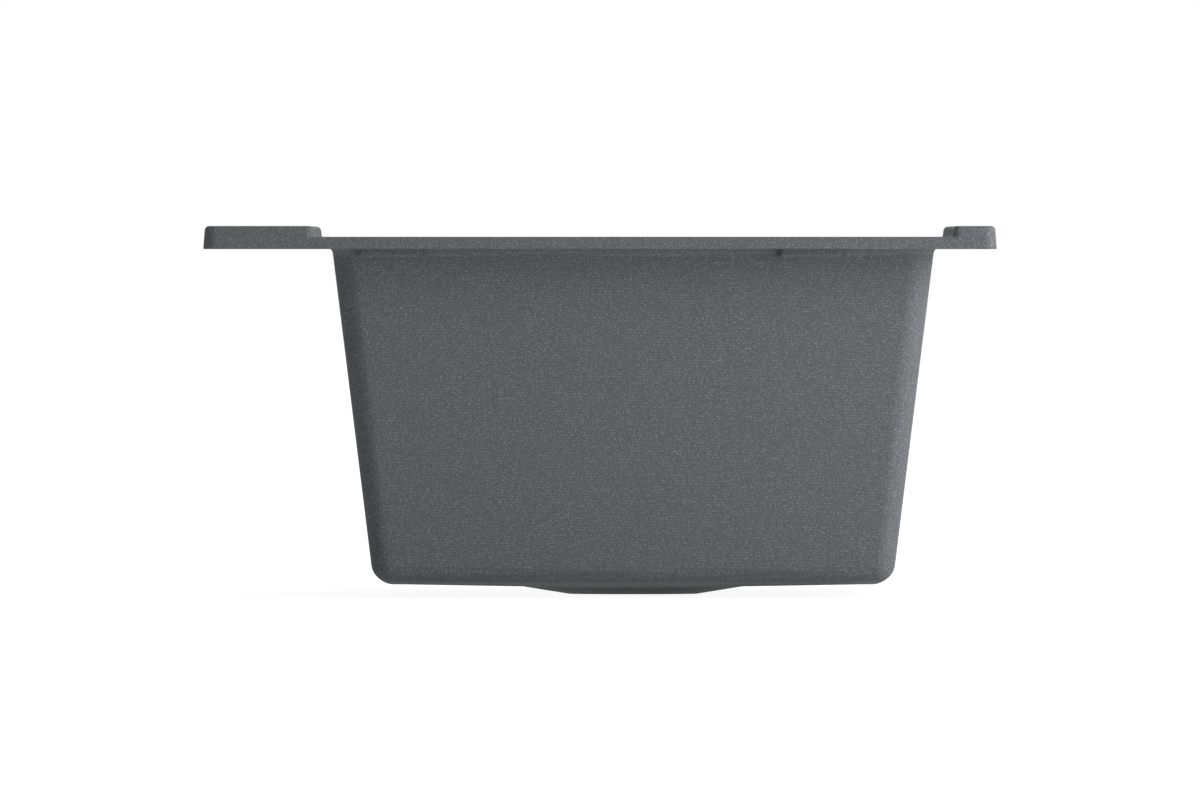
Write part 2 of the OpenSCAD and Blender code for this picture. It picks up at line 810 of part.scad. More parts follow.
// Arched wire grips that stand on the flange at the colander's two ends
module colander_grips() {
    bend_r = grip_d;
    bar_z = flange_z + sheet_t + grip_rise - grip_d / 2;
    grip_x = colander_l / 2 - flange_end_w / 2;
    half = grip_span / 2;
    color(steel) at_colander() for (s = [-1, 1])
        translate([s * grip_x, 0, 0]) {
            translate([0, 0, bar_z]) bar_y(grip_d, bend_r - half, half - bend_r);
            for (e = [0, 1]) mirror([0, e, 0]) {
                translate([0, half - bend_r, bar_z - bend_r])
                    rotate([90, 0, 90])
                    rotate_extrude(angle = 90)
                    translate([bend_r, 0])
                    circle(d = grip_d);
                translate([0, half, flange_z + sheet_t])
                    cylinder(h = bar_z - bend_r - flange_z - sheet_t, d = grip_d);
            }
        }
}

module colander_runners() {
    color(silicone) translate([colander_x, bowl_y, kit_z]) runners(colander_l);
}

module colander_feet() {
    foot_inset = border_w - colander_foot_d / 2 - foot_margin;
    color(silicone) at_colander() for (sx = [-1, 1], sy = [-1, 1])
        translate([
            sx * (floor_half_l - foot_inset),
            sy * (floor_half_w - foot_inset),
            tray_floor_z - colander_foot_h
        ]) cylinder(h = colander_foot_h, d = colander_foot_d);
}

basin();
grid_frame();
grid_cross_wires();
grid_long_wires();
grid_drain_ring();
grid_legs();
grid_feet();
grid_bumpers();
cap_plate();
cap_seal();
cap_knob();
cap_screw();
board_panel();
board_end_battens();
board_dowels();
board_runners();
colander_tray();
colander_screen();
colander_grips();
colander_runners();
colander_feet();
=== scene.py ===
"""Looks of the workstation sink: the cast basin and its sliding kit, dressed over the fixed CAD frame."""
import json
from functools import partial
from math import radians

import bmesh
import bpy
import numpy as np
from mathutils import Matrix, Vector


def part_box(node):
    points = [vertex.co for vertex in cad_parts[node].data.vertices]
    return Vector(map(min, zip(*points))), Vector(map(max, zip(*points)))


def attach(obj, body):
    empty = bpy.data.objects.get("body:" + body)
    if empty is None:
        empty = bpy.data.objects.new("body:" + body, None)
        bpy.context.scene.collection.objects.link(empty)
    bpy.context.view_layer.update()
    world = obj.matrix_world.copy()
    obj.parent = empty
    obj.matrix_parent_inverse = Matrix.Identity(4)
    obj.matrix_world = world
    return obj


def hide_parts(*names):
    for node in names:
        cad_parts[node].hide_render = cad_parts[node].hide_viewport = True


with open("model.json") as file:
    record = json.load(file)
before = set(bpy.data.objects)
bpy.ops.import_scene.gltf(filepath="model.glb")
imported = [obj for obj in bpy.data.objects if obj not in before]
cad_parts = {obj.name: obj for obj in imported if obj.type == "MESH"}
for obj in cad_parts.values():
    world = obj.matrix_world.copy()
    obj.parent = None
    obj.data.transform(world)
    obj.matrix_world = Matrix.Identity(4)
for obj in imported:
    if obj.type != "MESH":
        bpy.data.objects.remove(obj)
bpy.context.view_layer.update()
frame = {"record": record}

bl_info = {
    "name": "Workstation Sink",
    "version": (1, 0, 0),
    "blender": (4, 5, 0),
    "location": "View3D > Sidebar > Sink",
    "description": "Builds the cast basin, the bottom grid, the drain cap, the board and the colander",
    "category": "Object",
}

MM = 0.001
TAU = 2 * np.pi
SIDES = (-1, 1)
CORNERS = [(end, side) for end in SIDES for side in SIDES]
WHITE = (1.0, 1.0, 1.0, 1.0)
# Order of the coordinates that turns a shape about Z into one about another axis
AXES = {"X": [2, 0, 1], "Y": [1, 2, 0], "Z": [0, 1, 2]}
# What turns a section's left to its right
MIRRORED = [[-1], [1]]
# Edges that turn by more than this stay sharp
CREASE = radians(34)
# Angle in degrees that a cut edge keeps from flat where its arc ends, so that the cut is never a graze
EDGE_REST = 3
# Radius at which a turned shape's skin ends and a fan closes it
TIP = 0.1 * MM
# Points round a bent wire
WIRE_SIDES = 14
# Width of the camera's sensor, in millimetres
SENSOR = 36.0


def node_box(node):
    """Lowest and highest corner of a CAD node, as two arrays."""
    low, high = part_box(node)
    return np.array(low), np.array(high)


BASIN_LOW, BASIN_HIGH = node_box("basin")
GRID_LOW, GRID_HIGH = node_box("grid_frame")
MOUNTS = {mount["name"]: mount["pos_m"] for mount in frame["record"]["mounts"]}
RIM_Z = MOUNTS["worktop_seat"][2]
BOWL_Y = MOUNTS["drain_hole"][1]


def linear(code):
    """Linear colour of an sRGB hex code: each channel is undone by the sRGB curve."""
    channels = np.array([int(code[i:i + 2], 16) for i in (1, 3, 5)]) / 255
    curve = np.where(channels <= 0.04045, channels / 12.92, ((channels + 0.055) / 1.055) ** 2.4)
    return tuple(float(c) for c in curve)


def length(name, description, millimetres):
    """A length property, shown in the scene's unit."""
    return bpy.props.FloatProperty(
        name=name, description=description, default=millimetres * MM, min=0.0, unit="LENGTH", precision=5
    )


def slope(name, description, degrees):
    """An angle property."""
    return bpy.props.FloatProperty(
        name=name, description=description, default=radians(degrees), subtype="ANGLE", unit="ROTATION"
    )


def colour(name, description, code):
    """A colour property, given as an sRGB hex code."""
    return bpy.props.FloatVectorProperty(
        name=name, description=description, default=linear(code), subtype="COLOR", min=0.0, max=1.0
    )


def amount(name, description, value):
    """A plain number property."""
    return bpy.props.FloatProperty(name=name, description=description, default=value)


class BasinSizes(bpy.types.PropertyGroup):
    """Sizes of the cast basin that its frame box doesn't give."""

    slab: length("Rim thickness", "Height of the rim between the raised parts", 8.7)
    step: length("Step", "Rise of the tap deck and the front rail over the upper tier", 7.6)
    deck: length("Tap deck", "Width of the raised tap deck", 77.2)
    rail: length("Front rail", "Width of the raised front rail", 30.4)
    rim_corner: length("Rim corner", "Radius of the rim's corners in plan", 9)
    block_corner: length("Block corner", "Radius of the raised parts' inner corners in plan", 5)
    top_edge: length("Top edge", "Radius of the rim's top edges", 3.2)
    under_edge: length("Under edge", "Radius of the rim's lower edges", 0.6)
    step_foot: length("Step foot", "Hollow radius at the foot of the steps", 1.6)
    rim_draft: slope("Rim draft", "Slope of the rim's outer edge from upright", 4.5)
    step_draft: slope("Step draft", "Slope of the raised parts' inner faces from upright", 7.5)
    bowl_length: length("Bowl length", "Length of the bowl's outside at the worktop plane", 772)
    bowl_width: length("Bowl width", "Width of the bowl's outside at the worktop plane", 424.4)
    wall: length("Wall", "Thickness of the bowl's walls", 9.2)
    floor: length("Floor", "Thickness of the bowl's floor", 9.5)
    wall_draft: slope("Wall draft", "Slope of the outer walls from upright", 7)
    bowl_corner: length("Bowl corner", "Outer radius of the bowl's upright corners at the top", 17.5)
    floor_edge: length("Floor edge", "Outer radius where the walls turn into the floor", 14)
    room_corner: length("Room corner", "Inner radius of the bowl's upright corners", 12)
    room_floor: length("Room floor edge", "Inner radius where the walls turn into the floor", 16)
    floor_fall: slope("Floor fall", "Fall of the floor towards the drain", 1.1)
    collar: length("Collar height", "Height of the thickened band under the rim", 5.5)
    collar_end: length("Collar at the ends", "Reach of that band along the end walls", 5)
    collar_side: length("Collar at the sides", "Reach of that band along the long walls", 1.2)
    mouth_edge: length("Mouth edge", "Radius of the edge round the bowl's mouth", 2.5)
    tier_drop: length("Tier drop", "Depth of the lower tier below the upper tier", 20)
    tier_width: length("Tier width", "Width of the lower tier's ledges", 12)
    tier_edge: length("Tier edge", "Radius of the lower tier's edges", 1.6)
    drain: length("Drain", "Radius of the drain hole", 44.5)
    sump: length("Sump", "Radius of the sump", 79.2)
    sump_foot: length("Sump foot", "Radius of the flat that the sump ends in", 45.7)
    sump_fall: slope("Sump fall", "Slope of the sump", 9.1)
    flange: length("Flange seat", "Radius of the recess that takes the strainer's flange", 58)
    flange_drop: length("Flange seat depth", "Depth of that recess", 3)
    tap_hole: length("Tap hole", "Radius of each tap hole", 17.5)
    lug_offset: length("Lug offset", "Distance of each lug from the rim's middle", 148)
    lug_root: length("Lug root", "Half width of a lug at the wall", 24)
    lug_face: length("Lug face", "Half width of a lug's outer face", 20.3)
    lug_height: length("Lug height", "Height of a lug", 5.5)
    lug_reach: length("Lug reach", "Reach of a lug out from the end wall", 14)


class KitSizes(bpy.types.PropertyGroup):
    frame_wire: length("Frame wire", "Diameter of the grid's frame, cross wires and legs", 6)
    wire: length("Long wire", "Diameter of the grid's long wires", 4)
    wire_pitch: length("Wire pitch", "Distance between the long wires", 26)
    wire_corner: length("Grid corner", "Radius of the grid's corners to the wire's middle", 40)
    wire_end: length("Wire end", "Radius that the wires' cut ends are rounded to", 1)
    cross_wires: bpy.props.IntProperty(
        name="Cross wires", description="Number of cross wires on each side of the ring", default=3, min=1
    )
    leg_offset: length("Leg offset", "Distance of the legs from the bowl's middle line", 130)
    foot: length("Grid foot", "Diameter of the grid's feet", 14)
    foot_height: length("Grid foot height", "Height of the grid's feet", 11)
    bumper: length("Bumper", "Diameter of the sleeves on the frame", 12)
    bumper_length: length("Bumper length", "Length of the sleeves on the frame", 34)
    seal_width: length("Seal width", "Width of the drain cap's seal", 10)
    cap_sheet: length("Cap sheet", "Thickness of the drain cap's plate", 1.6)
    cap_rise: length("Cap rise", "Rise of the drain cap's dish to its middle", 3)
    knob: length("Knob", "Diameter of the drain cap's knob", 26)
    knob_waist: length("Knob waist", "Diameter of the knob's waist", 16)
    knob_foot: length("Knob foot", "Radius of the edge at the knob's foot, and at the screw's ends", 0.5)
    knob_neck: length("Knob neck", "Hollow radius under the knob's grip", 3.2)
    knob_grip: length("Knob grip", "Height of the knob's grip over its neck", 5)
    grip_edge: length("Grip edge", "Radius of the grip's lower edge", 0.6)
    knob_edge: length("Knob edge", "Radius of the knob's upper edge", 2)
    knob_crown: length("Knob crown", "Rise of the knob's top from its edge to its middle", 0.2)
    screw_head: length("Screw head", "Diameter of the head of the knob's screw", 10)
    board_corner: length("Board corner", "Radius of the board's and the colander flange's corners", 10)
    board_edge: length("Board edge", "Radius of the board's top and bottom edges", 2.2)
    groove_inset: length("Groove inset", "Distance of the juice groove from the board's edge", 14)
    groove_width: length("Groove width", "Width of the juice groove", 7)
    groove_drop: length("Groove depth", "Depth of the juice groove", 3)
    slot_width: length("Slot width", "Width of the board's finger slot", 26)
    slot_length: length("Slot length", "Length of the board's finger slot", 100)
    slot_inset: length("Slot inset", "Distance of the finger slot's middle from the batten", 32)
    joint: length("Board joint", "Gap that the joint between panel and batten shows", 0.16)
    stave: length("Stave", "Width of the staves that the board is glued from", 37)
    sheet: length("Sheet", "Thickness of the colander's sheet", 1.2)
    body_length: length("Body length", "Length of the colander's body under its flange", 168)
    body_width: length("Body width", "Width of the colander's body under its flange", 374.2)
    body_corner: length("Body corner", "Radius of the colander body's upright corners", 24)
    body_draft: slope("Body draft", "Slope of the colander's walls from upright", 6)
    body_floor: length("Body floor edge", "Radius where the colander's walls turn into its floor", 12)
    flange_bend: length("Flange bend", "Radius of the bend between flange and wall", 3)
    screen_lap: length("Screen lap", "Overlap of the screen on the colander's floor", 5)
    screen_corner: length("Screen corner", "Radius of the screen's corners", 12)
    grip_wire: length("Grip wire", "Diameter of the colander's grips", 5)
    colander_foot: length("Colander foot", "Diameter of the colander's feet", 11)
    runner: length("Runner", "Width of the soft runners", 7)
    hole: length("Hole", "Radius of the screen's holes", 4)
    hole_pitch: length("Hole pitch", "Distance between the screen's holes", 16)


class SinkFinish(bpy.types.PropertyGroup):
    """Colours of the sink's materials."""

    composite: colour("Composite", "Middle tone of the quartz composite", "#606265")
    grain_dark: colour("Dark grain", "Dark sand in the composite", "#4A4C50")
    grain_light: colour("Light grain", "Light sand in the composite", "#74777B")
    fleck: colour("Fleck", "Scattered quartz flecks", "#B4B9C0")
    steel: colour("Steel", "Stainless steel", "#C9CACB")
    silicone: colour("Silicone", "Feet, bumpers, runners and seal", "#2E2F31")
    wood_early: colour("Early wood", "Pale bands of the board's wood", "#B07A4E")
    wood_late: colour("Late wood", "Dark bands of the board's wood", "#7C4A2B")
    wood_pore: colour("Pores", "Open pores in the board's wood", "#4A2A18")


class StudioSetup(bpy.types.PropertyGroup):
    """Camera, lamps and floor."""

    view_width: length("View width", "Width that the picture shows at the basin's near end", 844.6)
    aim_height: length("Aim height", "Height over the floor at the picture's middle", 140.1)
    camera_height: length("Camera height", "Height of the lens, level with the rim's underside", 246.3)
    lens: amount("Lens", "Focal length in millimetres, long because the picture shows no perspective", 1150.0)
    sky: amount("Sky", "Strength of the soft light at the horizon", 0.05)
    sky_top: amount("Sky overhead", "Strength that the soft light gains up to overhead", 1.05)
    sky_behind: amount("Sky behind", "Strength that the soft light gains behind the far end", 3.0)
    sky_lean: amount("Sky lean", "Share by which the soft light is weaker at the back", 0.95)
    key: amount("Key lamp", "Power of the soft lamp before the front rail, in watts", 36.5)
    key_size: length("Key size", "Length of that lamp's sides", 1170)
    key_distance: length("Key distance", "Distance of that lamp from the basin's near end", 1950)
    key_turn: slope("Key turn", "Turn of that lamp from the near end towards the front", 65)
    key_rise: slope("Key rise", "Height of that lamp, as an angle over the horizon", 16)
    floor_tone: colour("Floor", "Pale studio floor", "#FAFAFA")
    floor_glow: amount("Floor glow", "Strength of the floor's white where it is looked at", 1.3)
    floor_share: amount("Floor share", "Share of that white in what is seen of the floor", 0.72)
    floor_size: length("Floor size", "Half the length of the floor's sides", 200000)


def skin(points, looped=False):
    """Vertices and faces of a closed surface given as rows of points, each row a closed ring.

    Place v of row u makes one quad with its next neighbours. The rows loop too, or they end in caps: a fan
    from the first and from the last row to that row's mean.
    """
    rows, places = points.shape[:2]
    index = np.arange(rows * places).reshape(rows, places)
    if looped:
        index = np.vstack([index, index[:1]])
    index = np.hstack([index, index[:, :1]])
    quads = np.stack([index[:-1, :-1], index[:-1, 1:], index[1:, 1:], index[1:, :-1]], axis=-1)
    vertices, faces = points.reshape(-1, 3), [quads.reshape(-1, 4)]
    if not looped:
        for row, hub in ((index[0][::-1], rows * places), (index[-1], rows * places + 1)):
            faces.append(np.stack([row[:-1], row[1:], np.full(len(row) - 1, hub)], axis=-1))
        vertices = np.vstack([vertices, points[0].mean(axis=0), points[-1].mean(axis=0)])
    return vertices, faces


def moved(surface, *shift):
    """A surface moved along X, Y and Z."""
    return surface[0] + shift, surface[1]


def new_piece(name, surfaces):
    """Object at the origin whose mesh holds the given closed surfaces, all facing outwards."""
    mesh = bpy.data.meshes.new(name)
    base, faces = 0, []
    for vertices, groups in surfaces:
        for group in groups:
            faces.extend((group + base).tolist())
        base += len(vertices)
    mesh.from_pydata(np.vstack([vertices for vertices, groups in surfaces]).tolist(), [], faces)
    shell = bmesh.new()
    shell.from_mesh(mesh)
    bmesh.ops.recalc_face_normals(shell, faces=shell.faces)
    shell.to_mesh(mesh)
    shell.free()
    piece = bpy.data.objects.new(name, mesh)
    bpy.context.scene.collection.objects.link(piece)
    return piece


def keep_shape(piece):
    """Swap a piece's mesh for the one that its modifiers give."""
    raw = piece.data
    graph = bpy.context.evaluated_depsgraph_get()
    piece.data = bpy.data.meshes.new_from_object(piece.evaluated_get(graph))
    piece.modifiers.clear()
    bpy.data.meshes.remove(raw)


def carve(piece, surfaces, operation="DIFFERENCE"):
    """Cut closed surfaces out of a closed piece, or join or intersect the two."""
    tool = new_piece("tool", surfaces)
    step = piece.modifiers.new(operation.title(), "BOOLEAN")
    step.operation, step.solver, step.object = operation, "MANIFOLD", tool
    keep_shape(piece)
    mesh = tool.data
    bpy.data.objects.remove(tool)
    bpy.data.meshes.remove(mesh)


def finish_piece(piece, material, body, slot, *nodes):
    """Smooth shading broken at creases, the material, and the piece's place in the frame."""
    piece.data.shade_smooth()
    piece.data.set_sharp_from_angle(angle=CREASE)
    even = piece.modifiers.new("Even shading", "WEIGHTED_NORMAL")
    even.keep_sharp = True
    keep_shape(piece)
    piece.data.name = piece.name
    piece.data.materials.clear()
    piece.data.materials.append(material)
    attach(piece, body)
    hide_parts(*nodes)


def dress(name, surfaces, *finish):
    """New piece from closed surfaces, finished at once."""
    finish_piece(new_piece(name, surfaces), *finish)


def arc(start, end, steps):
    """Angles from start to end in degrees, as radians."""
    return np.radians(np.linspace(start, end, steps))


def full_turn(steps):
    """Angles once round, without the last one that is the first again."""
    return np.linspace(0, TAU, steps, endpoint=False)


def bend(across, up, radius, start, end, steps):
    """Arc of a section, as two rows, across and up: round a centre, from one angle to another in degrees."""
    turn = arc(start, end, steps)
    return np.stack([across + radius * np.cos(turn), up + radius * np.sin(turn)])


def spots(*points):
    """Single points of a section, as two rows, across and up."""
    return np.transpose(points)


def plan_places(side_places, end_places, corner_places):
    """Places round a rounded rectangle, counter-clockwise from its +X end, for outline().

    Each place is a share a of the straight half length, a share b of the straight half width and an angle t.
    The second half of them is the first one turned half round.
    """
    along = np.linspace(1, -1, side_places, endpoint=False)[1:]
    across = np.linspace(-1, 1, end_places, endpoint=False)[1:]
    turn = np.linspace(0, TAU / 4, corner_places)
    corner, side, end = np.ones_like(turn), np.ones_like(along), np.ones_like(across)
    a = np.hstack([corner, along, -corner, -end])
    b = np.hstack([corner, side, corner, -across])
    t = np.hstack([turn, side * TAU / 4, turn + TAU / 4, end * TAU / 2])
    return np.hstack([a, -a]), np.hstack([b, -b]), np.hstack([t, t + TAU / 2])


def points_of(x, y, z):
    """Grid of points from their coordinates, each of which is a grid, a row, a column or one number."""
    return np.stack(np.broadcast_arrays(x, y, z), axis=-1)


def outline(places, half_x, half_y, radius, z, centre=(0.0, 0.0)):
    """Rounded rectangles as rows of points: each row has its own half sizes, corner radius and height.

    A point is its corner's centre, or its share of the straight side, plus the radius along its angle.
    """
    a, b, t = places
    sizes = (np.asarray(size, float) for size in (half_x, half_y, radius, z))
    half_x, half_y, radius, z = (size[:, None] if size.ndim == 1 else size for size in sizes)
    x = centre[0] + a * (half_x - radius) + radius * np.cos(t)
    y = centre[1] + b * (half_y - radius) + radius * np.sin(t)
    return points_of(x, y, z)


def revolved(section, places=48):
    """Surface of a section turned about Z: each row is a circle of one radius at one height."""
    turn = full_turn(places)
    radius, height = np.asarray(section, float)[..., None]
    return points_of(radius * np.cos(turn), radius * np.sin(turn), height)


def bar(radius, low, high, rounding, axis="Z", places=16):
    """Round bar along one axis, centred on it, whose two ends are rounded by quarter arcs."""
    side = radius - rounding
    section = np.hstack([
        bend(side, low + rounding, rounding, -90, 0, 4), bend(side, high - rounding, rounding, 0, 90, 4)
    ])
    return skin(revolved(section, places)[..., AXES[axis]])


def sleeve(outer, inner, half_length, edge, bore_edge, axis="Z", places=32, top=np.inf):
    """Soft tube along one axis, centred, with round edges inside and out.

    Its section is a closed loop of four quarter arcs, turned about the axis. Where a top is given, the tube
    is cut flat at that height.
    """
    section = np.hstack([
        bend(outer - edge, half_length - edge, edge, 0, 90, 4),
        bend(inner + bore_edge, half_length - bore_edge, bore_edge, 90, 180, 4),
        bend(inner + bore_edge, bore_edge - half_length, bore_edge, 180, 270, 4),
        bend(outer - edge, edge - half_length, edge, 270, 360, 4)
    ])
    points = revolved(section, places)[..., AXES[axis]]
    points[..., 2] = np.minimum(points[..., 2], top)
    return skin(points, looped=True)


def slab(places, half_x, half_y, corner, low, high, edge, centre):
    """Flat block with a rounded plan and quarter arcs round its top and bottom edges."""
    inset, z = np.hstack([
        spots((3 * edge, low)), bend(edge, low + edge, edge, 270, 180, 5),
        bend(edge, high - edge, edge, 180, 90, 5), spots((3 * edge, high))
    ])
    radius = np.maximum(corner - inset, edge / 4)
    return skin(outline(places, half_x - inset, half_y - inset, radius, z, centre))


def flared(low, high, edge, last, steps, out, past):
    """Reach and height of a hole's side, from its lower to its upper face. At both it opens in an arc.

    The arcs turn from upright to the last angle, which is short of level, so that the cut is never a graze.
    The side then goes out, and past the face, by shares of the edge's radius.
    """
    reach, depth = np.hstack([
        bend(edge, edge, edge, 180, 180 + last, steps), spots((out * edge, -past * edge))
    ])
    return np.hstack([reach[::-1], reach]), np.hstack([low + depth[::-1], high - depth])


def top_corner(height, draft, radius):
    """Insets and heights of the round top edge of a leaning side.

    The arc's centre lies a radius inside the side, which leans in by the draft, and a radius under the top.
    """
    centre = radius / np.cos(draft) + (height - radius) * np.tan(draft)
    return bend(centre, height - radius, radius, 180 - np.degrees(draft), 90, 9)


def rim_block(cast, places):
    """The rim as one solid of full height: its plan drawn in round its edges and along the leaning side."""
    height, edge = BASIN_HIGH[2] - RIM_Z, cast.under_edge
    inset, rise = np.hstack([
        spots((4 * edge, 0)), bend(edge * (1 + np.tan(cast.rim_draft)), edge, edge, 270, 180, 4),
        top_corner(height, cast.rim_draft, cast.top_edge), spots((4 * cast.top_edge, height))
    ])
    corner = np.maximum(cast.rim_corner - inset, cast.rim_corner / 8)
    return skin(outline(places, BASIN_HIGH[0] - inset, BASIN_HIGH[1] - inset, corner, RIM_Z + rise))


def tier_tool(cast):
    """What is cut away over the upper tier, from end to end between the front rail and the tap deck.

    Its section has the steps' hollow feet, their leaning faces and the round top edges that they leave. Along
    X the section runs straight. At both ends its sides open along an arc, which rounds the upright corners of
    the raised parts, and its floor falls along the arc of the tier's own edge.
    """
    tier_z, top_z = RIM_Z + cast.slab, BASIN_HIGH[2]
    lean, edge, hollow, corner = cast.step_draft, cast.top_edge, cast.step_foot, cast.block_corner
    half_lean = cast.step / 2 * np.tan(lean)
    deck_foot = BASIN_HIGH[1] - cast.deck - half_lean
    rail_foot = BASIN_LOW[1] + cast.rail + half_lean
    middle, half = (deck_foot + rail_foot) / 2, (deck_foot - rail_foot) / 2

    foot_y = half - hollow * (1 - np.sin(lean)) / np.cos(lean)
    edge_y = half + (edge + (cast.step - edge) * np.sin(lean)) / np.cos(lean)
    side = np.hstack([
        spots((0, tier_z)), bend(foot_y, tier_z + hollow, hollow, -90, -np.degrees(lean), 6),
        bend(edge_y, top_z - edge, edge, 180 - np.degrees(lean), 90 + EDGE_REST, 9)
    ])
    far_y, far_z = side[:, -1] + np.array([1, np.sin(radians(EDGE_REST))]) * 4 * edge
    side = np.hstack([side, spots((far_y, far_z), (far_y, top_z + 4 * edge), (0, top_z + 4 * edge))])
    section_y, section_z = np.hstack([side, side[:, -2:0:-1] * MIRRORED])

    opening, past_face = np.hstack([
        bend(corner, -corner, corner, 180, 94, 11), spots((corner, 0.05 * corner), (2 * corner, 1.2 * corner))
    ])
    face_x = BASIN_HIGH[0] - (np.minimum(section_z, top_z) - RIM_Z) * np.tan(cast.rim_draft)
    x = face_x + past_face[:, None]
    edge_x = BASIN_HIGH[0] - top_corner(cast.slab, cast.rim_draft, edge)[0, -1]
    along = np.clip(x - edge_x, 0, edge * np.cos(radians(10)))
    drop = edge - np.sqrt(edge ** 2 - along ** 2)
    floor_share = np.clip((tier_z + hollow - section_z) / hollow, 0, 1)
    y = middle + section_y + np.sign(section_y) * opening[:, None]
    end = points_of(x, y, section_z - drop * floor_share)
    return skin(np.concatenate([(end * (-1, 1, 1))[::-1], end]))


def cone_height(cast, x, y, foot):
    """Height of the floor's cone, which falls to the drain and has the height foot at the sump's rim."""
    return foot + (np.hypot(x, y) - cast.sump) * np.tan(cast.floor_fall)


def floor_rings(cast, edge, foot, steps):
    """Rows on the cone, from the ring where a floor's edge ends straight in to the sump's rim."""
    radius = np.hypot(edge[:, 0], edge[:, 1])
    share = np.linspace(1, 0, steps)[1:, None]
    reach = cast.sump + (radius - cast.sump) * share
    x, y = edge[:, 0] / radius * reach, edge[:, 1] / radius * reach
    return points_of(x, y, cone_height(cast, x, y, foot))


def circles(like, section):
    """Rings round the drain, one for each point of a section, in the directions of a given ring's points."""
    heading = like[:, :2] / np.hypot(like[:, 0], like[:, 1])[:, None]
    radius, height = section[..., None]
    return points_of(heading[:, 0] * radius, heading[:, 1] * radius, height)


def wall_and_edge(places, cast, foot_half, lean, edge, foot, top, corner):
    """Rows of a leaning wall from its top down and round its floor edge, where the floor is a cone.

    foot_half holds the half length and half width at height 0, lean their slopes, and top is the wall's upper
    height. The arc's centre lies an edge radius over the cone and inside the wall. Its rows are circles of a
    ball, so that the plan corner there has the arc's own reach as its radius.
    """
    (half_x, half_y), (lean_x, lean_y) = foot_half, lean
    ground = outline(places, [half_x - edge], [half_y - edge], [edge], [0.0])[0]
    centre_z = cone_height(cast, ground[:, 0], ground[:, 1], foot) + edge
    turn = arc(-np.degrees(lean_x), -90 - np.degrees(cast.floor_fall), 11)[:, None]
    centre_x = half_x + centre_z * np.tan(lean_x) - edge / np.cos(lean_x)
    centre_y = half_y + centre_z * np.tan(lean_y) - edge / np.cos(lean_y)
    reach = np.maximum(edge * np.cos(turn), edge / 60)  # Never zero, so that no corner closes to a point
    fillet = outline(places, centre_x + reach, centre_y + reach, reach, centre_z + edge * np.sin(turn))
    start_z = centre_z - edge * np.sin(lean_x)
    share = np.linspace(0, 1, 22)[:, None]
    z = top + (start_z - top) * share
    radius = corner + (reach[0] - corner) * share
    wall = outline(places, half_x + z * np.tan(lean_x), half_y + z * np.tan(lean_y), radius, z)
    return np.concatenate([wall, fillet[1:]])


def bowl_shell(cast, places):
    """Outside of the bowl: from inside the rim down the collar and the walls, over the floor, to the sump."""
    lean, corner = cast.wall_draft, cast.bowl_corner
    half_x, half_y = cast.bowl_length / 2, cast.bowl_width / 2
    foot_half = half_x - RIM_Z * np.tan(lean), half_y - RIM_Z * np.tan(lean)
    foot = (cast.sump - cast.sump_foot) * np.tan(cast.sump_fall)
    wall_top = RIM_Z - 1.5 * cast.collar
    wall = wall_and_edge(places, cast, foot_half, (lean, lean), cast.floor_edge, foot, wall_top, corner)
    # The collar thins out with the square of what is left of its height, at the sides with the fourth power
    fall = np.array([0, 0.1, 0.2, 0.35, 0.5, 0.7, 0.85, 1.0, 1.2])
    spread = np.hstack([1, np.maximum(1 - fall, 0) ** 2])
    z = RIM_Z + np.hstack([cast.slab / 2, -fall * cast.collar])
    inset = (RIM_Z - np.minimum(z, RIM_Z)) * np.tan(lean)
    collar_x = half_x - inset + spread * cast.collar_end
    collar_y = half_y - inset + spread ** 2 * cast.collar_side
    collar = outline(places, collar_x, collar_y, np.full(len(z), corner), z)
    floor = floor_rings(cast, wall[-1], foot, 12)
    sump = np.linspace((cast.sump, foot), (cast.sump_foot, 0), 6)[1:].T
    base = circles(wall[-1], np.hstack([sump, spots((0.8 * cast.drain, 0))]))
    return moved(skin(np.concatenate([collar, wall, floor, base])), 0, BOWL_Y, 0)


